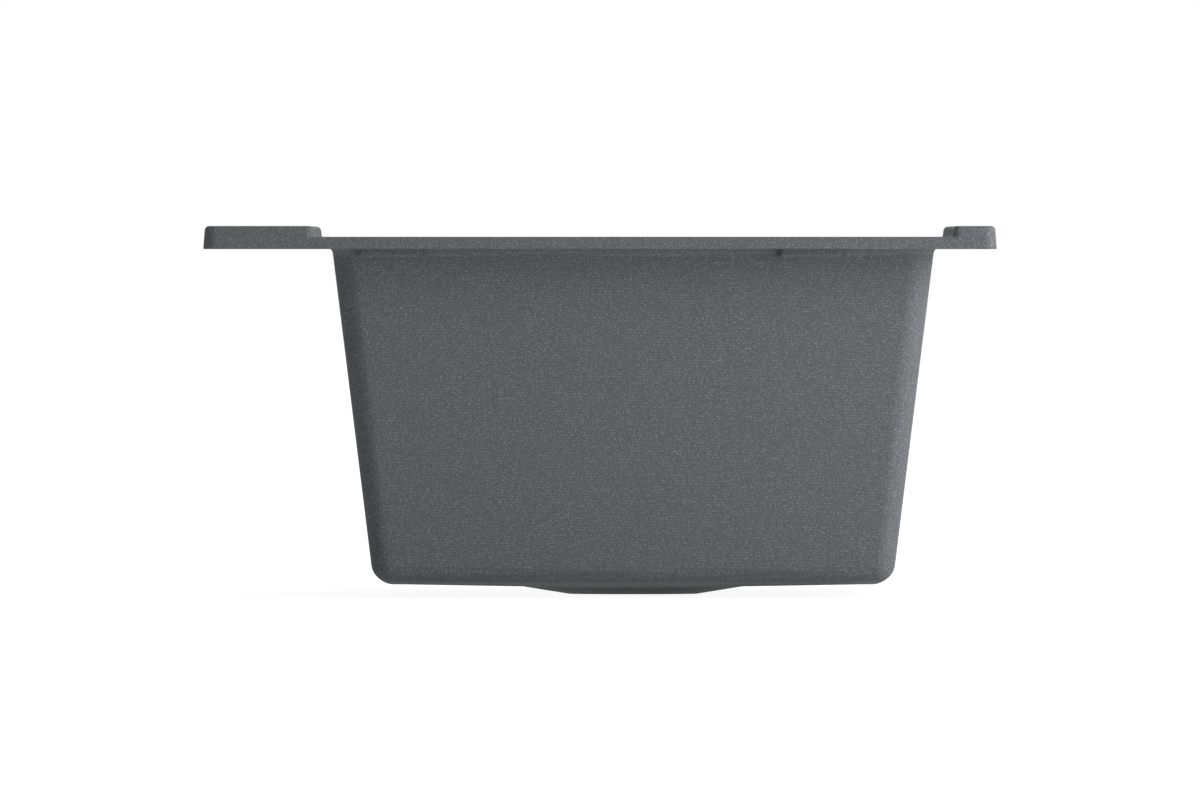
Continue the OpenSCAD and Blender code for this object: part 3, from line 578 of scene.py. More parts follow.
def room_tool(cast, places):
    """What is cut away inside the bowl: its mouth, the lower tier, the room, the sump and the drain hole."""
    lean, edge, small = cast.wall_draft, cast.mouth_edge, cast.tier_edge
    mouth_z, tier_z = RIM_Z + cast.slab, RIM_Z + cast.slab - cast.tier_drop
    half_x = cast.bowl_length / 2 - cast.wall - (RIM_Z - tier_z) * np.tan(lean)
    half_y = cast.bowl_width / 2 - cast.wall - (RIM_Z - tier_z) * np.tan(lean)
    mouth = np.hstack([spots((3 * edge, 0.12 * edge)), bend(edge, -edge, edge, 93, 180, 8)])
    ledge = np.hstack([
        bend(small, small, small, 180, 270, 6), bend(cast.tier_width - small, -1.12 * small, small, 90, 10, 6)
    ])
    inset_y, z = np.hstack([mouth * MIRRORED + [[0], [mouth_z]], ledge + [[0], [tier_z]]])
    inset_x = np.minimum(inset_y, 0)
    upper = outline(places, half_x - inset_x, half_y - inset_y, cast.room_corner - inset_x, z)

    foot = (cast.sump - cast.sump_foot) * np.tan(cast.sump_fall) + cast.floor
    ledge_y = half_y - cast.tier_width
    foot_y = cast.bowl_width / 2 - cast.wall - (RIM_Z - foot) * np.tan(lean)
    lean_y = np.arctan((ledge_y - foot_y) / (tier_z - foot))
    foot_half = half_x - tier_z * np.tan(lean), ledge_y - tier_z * np.tan(lean_y)
    wall_top = tier_z - 2 * small
    wall = wall_and_edge(
        places, cast, foot_half, (lean, lean_y), cast.room_floor, foot, wall_top, cast.room_corner
    )
    floor = floor_rings(cast, wall[-1], foot, 14)
    hole, flange, nick = cast.drain, cast.flange, cast.flange_drop / 6
    seat_top = (flange - cast.sump_foot) * np.tan(cast.sump_fall) + cast.floor
    seat = seat_top - cast.flange_drop
    drain = np.hstack([
        np.linspace((cast.sump, foot), (flange + nick, seat_top), 5)[1:].T,
        spots((flange + 0.3 * nick, seat_top - 0.3 * nick), (flange, seat_top - nick)),
        spots((flange, seat_top - 1.6 * nick)), bend(flange - nick, seat + nick, nick, 0, -90, 4),
        spots((hole + 2 * nick, seat), (hole + 0.6 * nick, seat - 0.3 * nick), (hole, seat - nick)),
        spots((hole, seat / 2), (hole, -2 * MM))
    ])
    rows = np.concatenate([upper, wall, floor, circles(wall[-1], drain)])
    return moved(skin(rows), 0, BOWL_Y, 0)


def tap_tool(cast, place):
    """What is cut away for one tap hole: a cylinder that flares to a small round edge above and below."""
    reach, z = flared(RIM_Z, BASIN_HIGH[2], 1.5 * cast.under_edge, 86, 6, 3, 0.2)
    return moved(skin(revolved((cast.tap_hole + reach, z), 96)), place[0], place[1], 0)


def lug(cast, side, end):
    """Clip lug: a rounded bar from inside the end wall outwards that narrows and ends in a bevel.

    Its section is a rounded rectangle about the worktop plane, whose upper half lies inside the rim.
    """
    edge = 0.22 * cast.lug_height
    reach = cast.lug_reach * np.array([-0.5, 0, 0.3, 0.6, 0.88, 0.95, 0.99, 1.0])
    width = cast.lug_root + (cast.lug_face - cast.lug_root) * np.clip(reach / cast.lug_reach, 0, 1)
    # The last three rows make the bevel
    width = width - edge * np.array([0, 0, 0, 0, 0, 0.12, 0.5, 1])
    height = cast.lug_height * (1 - 0.29 * np.array([0, 0, 0, 0, 0, 0.5, 0.86, 1.2]))
    rows = outline(plan_places(6, 4, 6), width, height, np.full(len(reach), edge), 0.0)
    x = end * (cast.bowl_length / 2 + reach[:, None])
    y, z = side * cast.lug_offset + rows[..., 0], RIM_Z + rows[..., 1]
    return skin(points_of(x, y, z))


def wire_loop(half_x, half_y, corner, radius, z):
    """Loop of round wire on a rounded rectangle: each row is the loop, drawn out and up round the wire."""
    turn = full_turn(WIRE_SIDES)
    reach, rise = radius * np.cos(turn), radius * np.sin(turn)
    rows = outline(plan_places(30, 16, 12), half_x + reach, half_y + reach, corner + reach, z + rise)
    return skin(rows, looped=True)


def ring(radius, wire, z):
    """Round ring of round wire: a circle of the wire turned about Z."""
    turn = full_turn(WIRE_SIDES)
    return skin(revolved((radius + wire * np.cos(turn), z + wire * np.sin(turn)), 120), looped=True)


def grid_layout(kit):
    """Half sizes of the grid's frame, and places of its cross wires, about the drain's axis."""
    half_x = GRID_HIGH[0] - kit.frame_wire / 2
    half_y = GRID_HIGH[1] - BOWL_Y - kit.frame_wire / 2
    first = node_box("grid_drain_ring")[1][0] + kit.frame_wire / 2
    return half_x, half_y, first + np.arange(kit.cross_wires) * (half_x - first) / kit.cross_wires


def leg_places(kit, cross):
    """Each leg's distance along the bowl, and how much higher the floor is there than at the inner legs."""
    x = cross[[0, -1]]
    reach = np.hypot(x, kit.leg_offset)
    return zip(x, (reach - reach[0]) * np.tan(bpy.context.scene.sink_basin.floor_fall))


def grid_wires(kit):
    """Frame, ring, cross wires, long wires and legs of the bottom grid, each a closed round bar."""
    half_x, half_y, cross = grid_layout(kit)
    z, thick, thin = (GRID_LOW[2] + GRID_HIGH[2]) / 2, kit.frame_wire / 2, kit.wire / 2
    ring_radius = node_box("grid_drain_ring")[1][0] - thick
    wires = [wire_loop(half_x, half_y, kit.wire_corner, thick, z), ring(ring_radius, thick, z)]
    reach = half_y - thick
    for x in cross:
        wires += [moved(bar(thick, -reach, reach, kit.wire_end, "Y"), side * x, 0, z) for side in SIDES]
    for y in np.arange(kit.wire_pitch / 2, half_y - kit.wire, kit.wire_pitch):
        rest = np.sqrt(max(ring_radius ** 2 - y ** 2, 0))
        spans = [(-half_x, -rest), (rest, half_x)] if rest else [(-half_x, half_x)]
        for low, high in spans:
            line = bar(thin, low, high, kit.wire_end, "X")
            wires += [moved(line, 0, side * y, z + thick + thin) for side in SIDES]
    low = node_box("grid_legs")[0][2]
    for x, rise in leg_places(kit, cross):
        leg = bar(thick, low + rise, z, kit.wire_end)
        wires += [moved(leg, end * x, side * kit.leg_offset, 0) for end, side in CORNERS]
    return [moved(wire, 0, BOWL_Y, 0) for wire in wires]


def grid_pads(kit):
    """Soft feet and bumpers of the bottom grid: cups under the legs, and sleeves on the frame wire."""
    half_x, half_y, cross = grid_layout(kit)
    z, thick = (GRID_LOW[2] + GRID_HIGH[2]) / 2, kit.frame_wire / 2
    side_x, end_y = (cross[-1] + cross[-2]) / 2, half_y / 2
    edge = kit.bumper / 8
    size = kit.bumper / 2, thick, kit.bumper_length / 2, edge, edge / 4
    # The sleeves across the bowl are flat just under the frame wire's top, which the long wires lie on
    along, across = sleeve(*size, "X"), sleeve(*size, "Y", top=thick * 0.98)
    pads = []
    for end in SIDES:
        pads += [moved(along, end * side_x, side * half_y, z) for side in SIDES]
        pads += [moved(across, end * half_x, side * end_y, z) for side in SIDES]
    lip, inside = (kit.foot / 2 - thick) / 2, kit.foot_height / 3
    radius, height = np.hstack([
        bend(kit.foot / 2 - edge, edge, edge, -90, 0, 6),
        bend(thick + lip, kit.foot_height - lip, lip, 0, 180, 9), spots((thick, inside), (0, inside))
    ])
    cup = skin(revolved((np.maximum(radius, thick / 50), height), 32))
    low = node_box("grid_feet")[0][2]
    for x, rise in leg_places(kit, cross):
        pads += [moved(cup, end * x, side * kit.leg_offset, low + rise) for end, side in CORNERS]
    return [moved(pad, 0, BOWL_Y, 0) for pad in pads]


def cap_parts(kit):
    """Plate, seal, knob and screw of the drain cap, as sections turned about the drain's axis."""
    (low, high), (knob_low, knob_high) = node_box("cap_plate"), node_box("cap_knob")
    radius, z, sheet, rise = high[0], low[2], kit.cap_sheet, kit.cap_rise
    boss = kit.knob / 2 - kit.knob_edge
    # The dish rises to the boss along half a cosine wave
    dish = np.stack([
        np.linspace(boss, radius - kit.seal_width, 13), rise * (0.5 + 0.5 * np.cos(np.linspace(0, np.pi, 13)))
    ])
    plate = np.hstack([
        spots((TIP, rise + sheet), (0.9 * boss, rise + sheet)), dish + [[0], [sheet]],
        bend(radius - sheet / 2, sheet / 2, sheet / 2, 90, -90, 7), dish[:, ::-1], spots((TIP, rise))
    ])
    thick = z - node_box("cap_seal")[0][2]
    rounding = 0.3 * thick
    seal = sleeve(radius, radius - kit.seal_width, thick / 2, rounding, rounding, places=96)

    wide, waist, height = kit.knob / 2, kit.knob_waist / 2, knob_high[2] - knob_low[2]
    foot, neck, under, edge = kit.knob_foot, kit.knob_neck, kit.grip_edge, kit.knob_edge
    crown, grip_z = kit.knob_crown, height - kit.knob_grip
    knob = np.hstack([
        spots((TIP, 0)), bend(waist - foot, foot, foot, -90, 0, 5),
        bend(waist + neck, grip_z - crown - neck, neck, 180, 100, 7),
        bend(wide - under, grip_z + under, under, -80, 0, 5),
        bend(wide - edge, height - edge - crown, edge, 0, 90, 8),
        spots((0.6 * wide, height - 0.6 * crown), (0.3 * wide, height - 0.2 * crown), (TIP, height))
    ])
    screw = bar(kit.screw_head / 2, node_box("cap_screw")[0][2], z + rise, kit.knob_foot, places=40)
    parts = {
        "plate": moved(skin(revolved(plate, 96)), 0, 0, z), "seal": moved(seal, 0, 0, z - thick / 2),
        "knob": moved(skin(revolved(knob, 64)), 0, 0, knob_low[2]), "screw": screw
    }
    return {name: [moved(part, 0, BOWL_Y, 0)] for name, part in parts.items()}


def groove_tool(kit, places, half, top, centre):
    """What is cut away for a groove round a board: half an ellipse, whose sides open in small arcs on top."""
    edge, wide = kit.groove_drop / 6, kit.groove_width / 2
    inset, corner = kit.groove_inset + wide, kit.board_corner - wide
    turn = arc(180, 360, 15)
    bottom = np.stack([wide * np.cos(turn), (kit.groove_drop - edge) * np.sin(turn) - edge])
    side = bend(wide + edge, -edge, edge, 180, 100, 5)[:, 1:]
    side = np.hstack([side, spots((side[0, -1], 2 * edge))])
    reach, z = np.hstack([bottom, side, side[:, ::-1] * MIRRORED])
    half_x, half_y = half[0] - inset + reach, half[1] - inset + reach
    return skin(outline(places, half_x, half_y, corner + reach, top + z, centre), looped=True)


def slot_tool(kit, places, low, high, centre):
    """What is cut away for the finger slot: an outline with nearly half-round ends, flared at both faces."""
    reach, z = flared(low, high, kit.board_edge, 88, 7, 2, 0.05)
    half_x, half_y = kit.slot_width / 2 + reach, kit.slot_length / 2 + reach
    return skin(outline(places, half_x, half_y, half_x * 0.998, z, centre))


def board_divider(low, high, gap):
    """Box round the panel's share of the board: past it above, below and beside, and by a gap at its ends."""
    room = 10 * MM
    (x0, x1), (y0, y1) = (low[0] - gap, high[0] + gap), (low[1] - room, high[1] + room)
    corners = [[(x0, y0, z), (x1, y0, z), (x1, y1, z), (x0, y1, z)] for z in (low[2] - room, high[2] + room)]
    return skin(np.array(corners))


def runner_strips(kit, node):
    """The two soft strips of a CAD node, as rounded slabs along its front and back."""
    low, high = node_box(node)
    places, edge = plan_places(12, 3, 6), kit.board_edge / 5
    half_x, half_y = (high[0] - low[0]) / 2, kit.runner / 2
    centres = [((high[0] + low[0]) / 2, y) for y in (low[1] + half_y, high[1] - half_y)]
    return [slab(places, half_x, half_y, half_y * 0.96, low[2], high[2], edge, centre) for centre in centres]


def tray_skin(kit, places, box, inset):
    """Rows of one skin of the colander's body, about its middle, from the flange's bend down to the floor.

    Inset is the skin's distance inside the outer one. The bends share one centre, so their radii differ by
    the inset. The floor's edge is made of circles of a ball, as deep inside the skin as its own radius.
    """
    low, high = box
    lean, corner = kit.body_draft, kit.body_corner - inset
    outer_x, outer_y = np.array([kit.body_length / 2, kit.body_width / 2]) - high[2] * np.tan(lean)
    foot_x, foot_y = outer_x - inset / np.cos(lean), outer_y - inset / np.cos(lean)
    centre_z = high[2] - kit.sheet - kit.flange_bend
    centre = (kit.flange_bend + centre_z * np.sin(lean)) / np.cos(lean)
    out, out_z = bend(centre, centre_z, kit.flange_bend + inset, 90, 180 - np.degrees(lean), 7)
    bends = outline(places, outer_x + out, outer_y + out, corner + out - out[-1], out_z)

    edge = kit.body_floor - inset
    edge_z = low[2] + inset + edge
    turn = arc(-np.degrees(lean), -90, 10)
    reach = np.maximum(edge * np.cos(turn), edge / 40)  # Never zero, so that no corner closes to a point
    ball = edge_z * np.tan(lean) - edge / np.cos(lean)
    reach_x, reach_y = foot_x + ball + reach, foot_y + ball + reach
    fillet = outline(places, reach_x, reach_y, reach, edge_z + edge * np.sin(turn))
    share = np.linspace(0, 1, 12)[1:]
    z = out_z[-1] + (edge_z - edge * np.sin(lean) - out_z[-1]) * share
    radius = corner + (reach[0] - corner) * share
    wall = outline(places, foot_x + z * np.tan(lean), foot_y + z * np.tan(lean), radius, z)
    return np.concatenate([bends, wall, fillet[1:]])


def colander_sheet(kit):
    """The colander's pressed tray as one closed skin: under the flange, down, round the cut and up inside."""
    low, high = box = node_box("colander_tray")
    centre = (low + high) / 2
    half_x, half_y = (high - centre)[:2]
    places, edge = plan_places(30, 50, 12), kit.sheet / 2
    outer, inner = (tray_skin(kit, places, box, inset) for inset in (0.0, kit.sheet))
    inset, z = bend(edge, high[2] - edge, edge, 270, 90, 7)
    rim = outline(places, half_x - inset, half_y - inset, kit.board_corner - inset, z)
    cut_x, cut_y = (node_box("colander_screen")[1] - centre - kit.screen_lap)[:2]
    out, z = bend(edge, low[2] + edge, edge, 270, 90, 7)
    cut = outline(places, cut_x + out, cut_y + out, kit.screen_corner - kit.screen_lap, z)
    rows = np.concatenate([rim[::-1], outer, cut, inner[::-1]])
    return moved(skin(rows, looped=True), centre[0], centre[1], 0)


def screen_sheet(kit):
    """The perforated screen without its holes, and the tools that cut them in a square pattern."""
    low, high = node_box("colander_screen")
    centre, half, edge = (low + high) / 2, (high - low) / 2, kit.sheet / 4
    plate = slab(plan_places(12, 24, 8), half[0], half[1], kit.screen_corner, low[2], high[2], edge, centre)
    counts = ((half[:2] - kit.screen_lap - kit.hole_pitch / 2) // kit.hole_pitch).astype(int)
    reach, z = flared(low[2], high[2], edge, 80, 4, 2, 1)
    hole = skin(revolved((kit.hole + reach, z), 28))
    columns, rows = (np.arange(-count, count + 1) * kit.hole_pitch for count in counts)
    return plate, [moved(hole, centre[0] + x, centre[1] + y, 0) for x in columns for y in rows]


def grip_wires(kit):
    """Two arched grips: round wire up a leg, round a bend, across and down, with a weld bead at each foot.

    Each row is a circle square to the path. The wire widens in a quarter arc over the bead's height.
    """
    low, high = node_box("colander_grips")
    centre, wire, radius = (low + high) / 2, kit.grip_wire / 2, kit.grip_wire
    half, bar_z, bead = high[1] - centre[1] - wire, high[2] - wire, wire / 2
    legs = low[2] + np.append(np.array([0, 0.08, 0.2, 0.4, 0.65, 1.0]) * bead, bar_z - radius - low[2])
    corner = bend(radius - half, bar_z - radius, radius, 180, 90, 9)
    side_y, side_z = np.hstack([[np.full(len(legs), -half), legs], corner])
    side_turn = np.hstack([np.full(len(legs), np.pi), arc(180, 90, 9)])
    y = np.hstack([side_y, -half / 2, 0, half / 2, -side_y[::-1]])
    z = np.hstack([side_z, np.full(3, bar_z), side_z[::-1]])
    facing = np.hstack([side_turn, np.full(3, np.pi / 2), np.pi - side_turn[::-1]])[:, None]
    over = np.clip((z - low[2]) / bead, 0, 1)
    thick = (wire + 0.5 * wire * (1 - np.sqrt(1 - (1 - over) ** 2)))[:, None]
    out, across = thick * np.cos(full_turn(20)), thick * np.sin(full_turn(20))
    points = points_of(across, y[:, None] + out * np.cos(facing), z[:, None] + out * np.sin(facing))
    offset = high[0] - centre[0] - wire
    return [moved(skin(points), centre[0] + end * offset, centre[1], 0) for end in SIDES]


def colander_pads(kit):
    """The colander's soft feet: round bars, in from the corners of their node's box by their radius."""
    low, high = node_box("colander_feet")
    centre, radius = (low + high) / 2, kit.colander_foot / 2
    reach_x, reach_y = (high - centre - radius)[:2]
    foot = bar(radius, low[2], high[2], radius / 5, places=32)
    return [moved(foot, centre[0] + end * reach_x, centre[1] + side * reach_y, 0) for end, side in CORNERS]


def feed(node, inputs):
    """Set a node's inputs, under their names or numbers, to values or to the outputs of other nodes."""
    for name, value in inputs.items():
        if isinstance(value, bpy.types.NodeSocket):
            node.id_data.links.new(value, node.inputs[name])
        else:
            node.inputs[name].default_value = value


def add_node(tree, kind, inputs, **settings):
    """Add a shader node with its inputs and settings, and give its outputs.

    Where inputs go by number, a Math node's values are 0, 1 and 2. A Mix node has its share at 0 and its
    colours at 6 and 7. A Map Range node has its value at 0, the range it is in at 1 and 2, and its new range
    at 3 and 4.
    """
    node = tree.nodes.new("ShaderNode" + kind)
    for name, value in settings.items():
        setattr(node, name, value)
    feed(node, inputs)
    return node.outputs


def new_material(name, **values):
    """A material, its Principled shader, what adds nodes to it, and its Object coordinates."""
    material = bpy.data.materials.new(name)
    material.use_nodes = True
    shader = material.node_tree.nodes["Principled BSDF"]
    feed(shader, {socket.replace("_", " "): value for socket, value in values.items()})
    add = partial(add_node, material.node_tree)
    return material, shader, add, add("TexCoord", {})["Object"]


def tone(value, share=0.0, other=(0.0, 0.0, 0.0)):
    """A colour as four numbers, with a share of another one in it, which is black where none is given."""
    return (*(np.array(value) * (1 - share) + np.array(other) * share), 1.0)


def per_size(millimetres):
    """Scale of a pattern whose cell or wave has a real size in millimetres."""
    return 1 / (millimetres * MM)


def lay_steel(shader, add, finish, dullest, shade, worn, roughness, height, strength, depth):
    """Bare steel: a shade from dull to clean, a roughness that follows wear, and relief of a real depth."""
    dull = tone(finish.steel, dullest)
    rough = add("MapRange", {0: worn, 1: 0.3, 2: 0.7, 3: roughness[0], 4: roughness[1]})[0]
    feed(shader, {
        "Base Color": add("Mix", {0: shade, 6: dull, 7: tone(finish.steel)}, data_type="RGBA")[2],
        "Roughness": rough,
        "Normal": add("Bump", {"Height": height, "Strength": strength, "Distance": depth * MM})[0]
    })


def grains(add, place, size, least, reach, most):
    """Scattered round grains in cells of a real size.

    A cell's chance is even between 0 and 1. Cells under the least chance stay bare, and above it the grain's
    strength rises with the chance up to the most. Reach is how far a grain goes from its cell's middle, as a
    share of the cell.
    """
    cells = add("TexVoronoi", {"Vector": place, "Scale": per_size(size)})
    chance = add("SeparateColor", {"Color": cells["Color"]})["Red"]
    strength = add("MapRange", {0: chance, 1: least, 4: most})[0]
    near = add("MapRange", {0: cells["Distance"], 1: reach, 2: reach * 0.6})[0]
    return add("Math", {0: strength, 1: near}, operation="MULTIPLY")[0]


def quartz_composite(finish):
    """Cast quartz composite: mineral sand in resin, matte, with pale and dark grains.

    Real sand is 0.1 to 0.7 mm; its grains are drawn in cells of 0.8 and 1 mm, just large enough to see.
    """
    material, shader, add, place = new_material(
        "cast_quartz_composite", Roughness=0.7, IOR=1.5, Specular_IOR_Level=0.12
    )
    # Turned, so that no flat wall runs along the rows of cells that the grains lie in
    place = add("Mapping", {"Vector": place, "Rotation": (0.61, 0.43, 0.29)})[0]
    sand = add("TexNoise", {"Vector": place, "Scale": per_size(1.2), "Detail": 3.0, "Roughness": 0.7})["Fac"]
    dark, light = tone(finish.grain_dark), tone(finish.grain_light)
    body = add("Mix", {0: sand, 6: dark, 7: light}, data_type="RGBA")[2]
    even = add("Mix", {0: 0.55, 6: body, 7: tone(finish.composite)}, data_type="RGBA")[2]
    dark_grains = grains(add, place, size=1.0, least=0.6, reach=0.5, most=0.68)
    specked = add("Mix", {0: dark_grains, 6: even, 7: dark}, data_type="RGBA")[2]
    flecks = grains(add, place, size=0.8, least=0.45, reach=0.52, most=0.52)
    feed(shader, {
        "Base Color": add("Mix", {0: flecks, 6: specked, 7: tone(finish.fleck)}, data_type="RGBA")[2],
        "Normal": add("Bump", {"Height": sand, "Strength": 0.25, "Distance": 0.12 * MM})[0]
    })
    return material


def polished_wire(finish):
    """Drawn stainless wire, electropolished: bright, with soft mirror patches and a very fine pebble.

    The real pebble is finer than 0.1 mm; it is drawn at 0.7 mm, so that close views show it.
    """
    material, shader, add, place = new_material("electropolished_steel_wire", Metallic=1.0)
    patches = add("TexNoise", {"Vector": place, "Scale": per_size(9), "Detail": 3.0})["Fac"]
    pebble = add("TexNoise", {"Vector": place, "Scale": per_size(0.7), "Detail": 2.0})["Fac"]
    lay_steel(shader, add, finish, 0.16, patches, patches, (0.17, 0.27), pebble, 0.12, 0.02)
    return material


def brushed_sheet(finish):
    """Pressed stainless sheet, brushed along its length: fine streaks that spread reflections across them.

    Real brush marks are about 0.1 mm wide; these are drawn at 0.5 mm, so that the picture shows them.
    """
    material, shader, add, place = new_material("brushed_stainless_sheet", Metallic=1.0)
    # The streaks are so many times longer, along Y, than they are wide
    fine_place = add("Mapping", {"Vector": place, "Scale": (1, 1 / 110, 1)})[0]
    broad_place = add("Mapping", {"Vector": place, "Scale": (1, 1 / 60, 1)})[0]
    fine = add("TexNoise", {"Vector": fine_place, "Scale": per_size(0.5), "Detail": 2.0})["Fac"]
    broad = add("TexNoise", {"Vector": broad_place, "Scale": per_size(2.6), "Detail": 2.0})["Fac"]
    broad = add("Math", {0: broad, 1: 0.4}, operation="MULTIPLY")[0]
    streaks = add("Math", {0: fine, 1: 0.6, 2: broad}, operation="MULTIPLY_ADD")[0]
    shade = add("MapRange", {0: streaks, 1: 0.3, 2: 0.7})[0]
    lay_steel(shader, add, finish, 0.2, shade, streaks, (0.26, 0.4), streaks, 0.2, 0.03)
    return material


def turned_steel(finish):
    """Turned stainless steel: rings of tool marks about the drain's axis, which draw its highlights out.

    Real marks are about 0.1 mm apart; these are drawn at 0.6 mm, so that the picture shows them.
    """
    material, shader, add, place = new_material("turned_stainless_steel", Metallic=1.0)
    x, y, z = add("SeparateXYZ", {0: add("Mapping", {"Vector": place, "Location": (0, -BOWL_Y, 0)})[0]})
    across = add("Math", {0: x, 1: x}, operation="MULTIPLY")[0]
    square = add("Math", {0: y, 1: y, 2: across}, operation="MULTIPLY_ADD")[0]
    radius = add("Math", {0: square}, operation="SQRT")[0]
    height = add("Math", {0: z, 1: 0.5}, operation="MULTIPLY")[0]
    ray = add("CombineXYZ", {0: radius, 1: height})[0]
    marks = add("TexNoise", {"Vector": ray, "Scale": per_size(0.6), "Detail": 2.0})["Fac"]
    wear = add("TexNoise", {"Vector": place, "Scale": per_size(12), "Detail": 3.0})["Fac"]
    shade = add("MapRange", {0: marks, 1: 0.3, 2: 0.7})[0]
    lay_steel(shader, add, finish, 0.18, shade, wear, (0.2, 0.3), marks, 0.25, 0.03)
    return material


def soft_silicone(finish):
    """Moulded silicone rubber: matte and dark, with a dusty bloom and the fine pebble of its mould.

    The real pebble is about 0.1 mm wide; it is drawn at 0.5 mm, so that close views show it.
    """
    material, shader, add, place = new_material(
        "moulded_silicone_rubber", Roughness=0.62, IOR=1.42, Specular_IOR_Level=0.35
    )
    bloom = add("TexNoise", {"Vector": place, "Scale": per_size(6), "Detail": 3.0})["Fac"]
    pebble = add("TexNoise", {"Vector": place, "Scale": per_size(0.5), "Detail": 1.0})["Fac"]
    share = add("MapRange", {0: bloom, 1: 0.4, 2: 0.75})[0]
    dusty = tone(finish.silicone, 0.12, finish.fleck)
    feed(shader, {
        "Base Color": add("Mix", {0: share, 6: tone(finish.silicone), 7: dusty}, data_type="RGBA")[2],
        "Normal": add("Bump", {"Height": pebble, "Strength": 0.3, "Distance": 0.03 * MM})[0]
    })
    return material


def board_wood(finish, name, along, stave):
    """Oiled hardwood glued from staves: each has its own shade, bands of early and late wood, and open pores.

    The grain runs along one axis. Across it, a stave's number is the whole part of the place over the stave's
    width, and it shifts the stave's own grain. Pores are drawn 0.5 mm wide, about twice their real width, and
    the much finer fibres as streaks of 0.8 mm.
    """
    material, shader, add, place = new_material(name, Roughness=0.42, IOR=1.5)
    x, y, z = add("SeparateXYZ", {0: place})
    lengthwise, crosswise = (x, y) if along == "X" else (y, x)
    count = add("Math", {0: crosswise, 1: stave}, operation="DIVIDE")[0]
    number = add("Math", {0: count}, operation="FLOOR")[0]
    chance = add("TexWhiteNoise", {"W": number}, noise_dimensions="1D")["Value"]
    shifted = add("Math", {0: chance, 1: 3.0, 2: lengthwise}, operation="MULTIPLY_ADD")[0]
    grain = add("CombineXYZ", {0: shifted, 1: crosswise, 2: z})[0]

    # Three patterns, each so many times longer along the grain than it is wide
    patterns = []
    for stretch, size, look in (
        ((1 / 26, 1, 1 / 1.6), 5, {"Detail": 3.0, "Distortion": 0.35}),
        ((1 / 45, 1, 1), 0.8, {"Detail": 2.0}),
        ((1 / 14, 1, 1), 0.5, {"Detail": 1.0})
    ):
        long_grain = add("Mapping", {"Vector": grain, "Scale": stretch})[0]
        patterns.append(add("TexNoise", {"Vector": long_grain, "Scale": per_size(size), **look})["Fac"])
    bands, fibre, pores = patterns
    open_pores = add("MapRange", {0: pores, 1: 0.62, 2: 0.7})[0]
    shade = tone(finish.wood_early)
    for share, other in (
        (add("MapRange", {0: bands, 1: 0.36, 2: 0.64})[0], finish.wood_late),
        (add("MapRange", {0: fibre, 1: 0.35, 2: 0.75, 4: 0.45})[0], finish.wood_late),
        (add("MapRange", {0: chance, 4: 0.34})[0], finish.wood_late),
        (add("Math", {0: open_pores, 1: 0.75}, operation="MULTIPLY")[0], finish.wood_pore)
    ):
        shade = add("Mix", {0: share, 6: shade, 7: tone(other)}, data_type="RGBA")[2]
    part = add("Math", {0: count}, operation="FRACT")[0]
    aside = add("Math", {0: part, 1: 0.5}, operation="SUBTRACT")[0]
    aside = add("Math", {0: aside}, operation="ABSOLUTE")[0]
    seam = add("MapRange", {0: aside, 1: 0.492, 2: 0.5})[0]
    hollow = add("Math", {0: open_pores, 1: seam}, operation="ADD")[0]
    hollow = add("Math", {0: hollow, 1: -1.0}, operation="MULTIPLY")[0]
    height = add("Math", {0: fibre, 1: 0.3, 2: hollow}, operation="MULTIPLY_ADD")[0]
    feed(shader, {
        "Base Color": shade,
        "Roughness": add("MapRange", {0: fibre, 1: 0.3, 2: 0.7, 3: 0.36, 4: 0.5})[0],
        "Normal": add("Bump", {"Height": height, "Strength": 0.4, "Distance": 0.08 * MM})[0]
    })
    return material


class SINK_OT_basin(bpy.types.Operator):
    """Build the cast basin over its CAD node"""

    bl_idname = "sink.basin"
    bl_label = "Basin"

    def execute(self, context):
        cast, finish = context.scene.sink_basin, context.scene.sink_finish
        places = plan_places(60, 36, 14)
        basin = new_piece("cast_basin", [rim_block(cast, places)])
        carve(basin, [bowl_shell(cast, places)], "UNION")
        carve(basin, [lug(cast, side, end) for side in SIDES for end in SIDES], "UNION")
        carve(basin, [tier_tool(cast)])
        carve(basin, [room_tool(cast, places)])
        carve(basin, [tap_tool(cast, place) for name, place in MOUNTS.items() if name.startswith("tap_hole")])
        finish_piece(basin, quartz_composite(finish), "sink", "composite", "basin")
        return {"FINISHED"}


class SINK_OT_bottom_grid(bpy.types.Operator):
    """Build the bottom grid: its wires, and its soft feet and bumpers"""

    bl_idname = "sink.bottom_grid"
    bl_label = "Bottom Grid"

    def execute(self, context):
        kit, finish = context.scene.sink_kit, context.scene.sink_finish
        wire, silicone = polished_wire(finish), soft_silicone(finish)
        nodes = "grid_frame", "grid_cross_wires", "grid_long_wires", "grid_drain_ring", "grid_legs"
        dress("grid_wires", grid_wires(kit), wire, "bottom_grid", "steel_wire", *nodes)
        dress("grid_pads", grid_pads(kit), silicone, "bottom_grid", "silicone", "grid_feet", "grid_bumpers")
        return {"FINISHED"}


class SINK_OT_drain_cap(bpy.types.Operator):
    """Build the drain cap: plate, seal, knob and screw"""

    bl_idname = "sink.drain_cap"
    bl_label = "Drain Cap"

    def execute(self, context):
        kit, finish = context.scene.sink_kit, context.scene.sink_finish
        parts = cap_parts(kit)
        steel, silicone = turned_steel(finish), soft_silicone(finish)
        for name in ("plate", "knob", "screw"):
            dress("turned_cap_" + name, parts[name], steel, "drain_cap", "steel_turned", "cap_" + name)
        dress("soft_cap_seal", parts["seal"], silicone, "drain_cap", "silicone", "cap_seal")
        return {"FINISHED"}


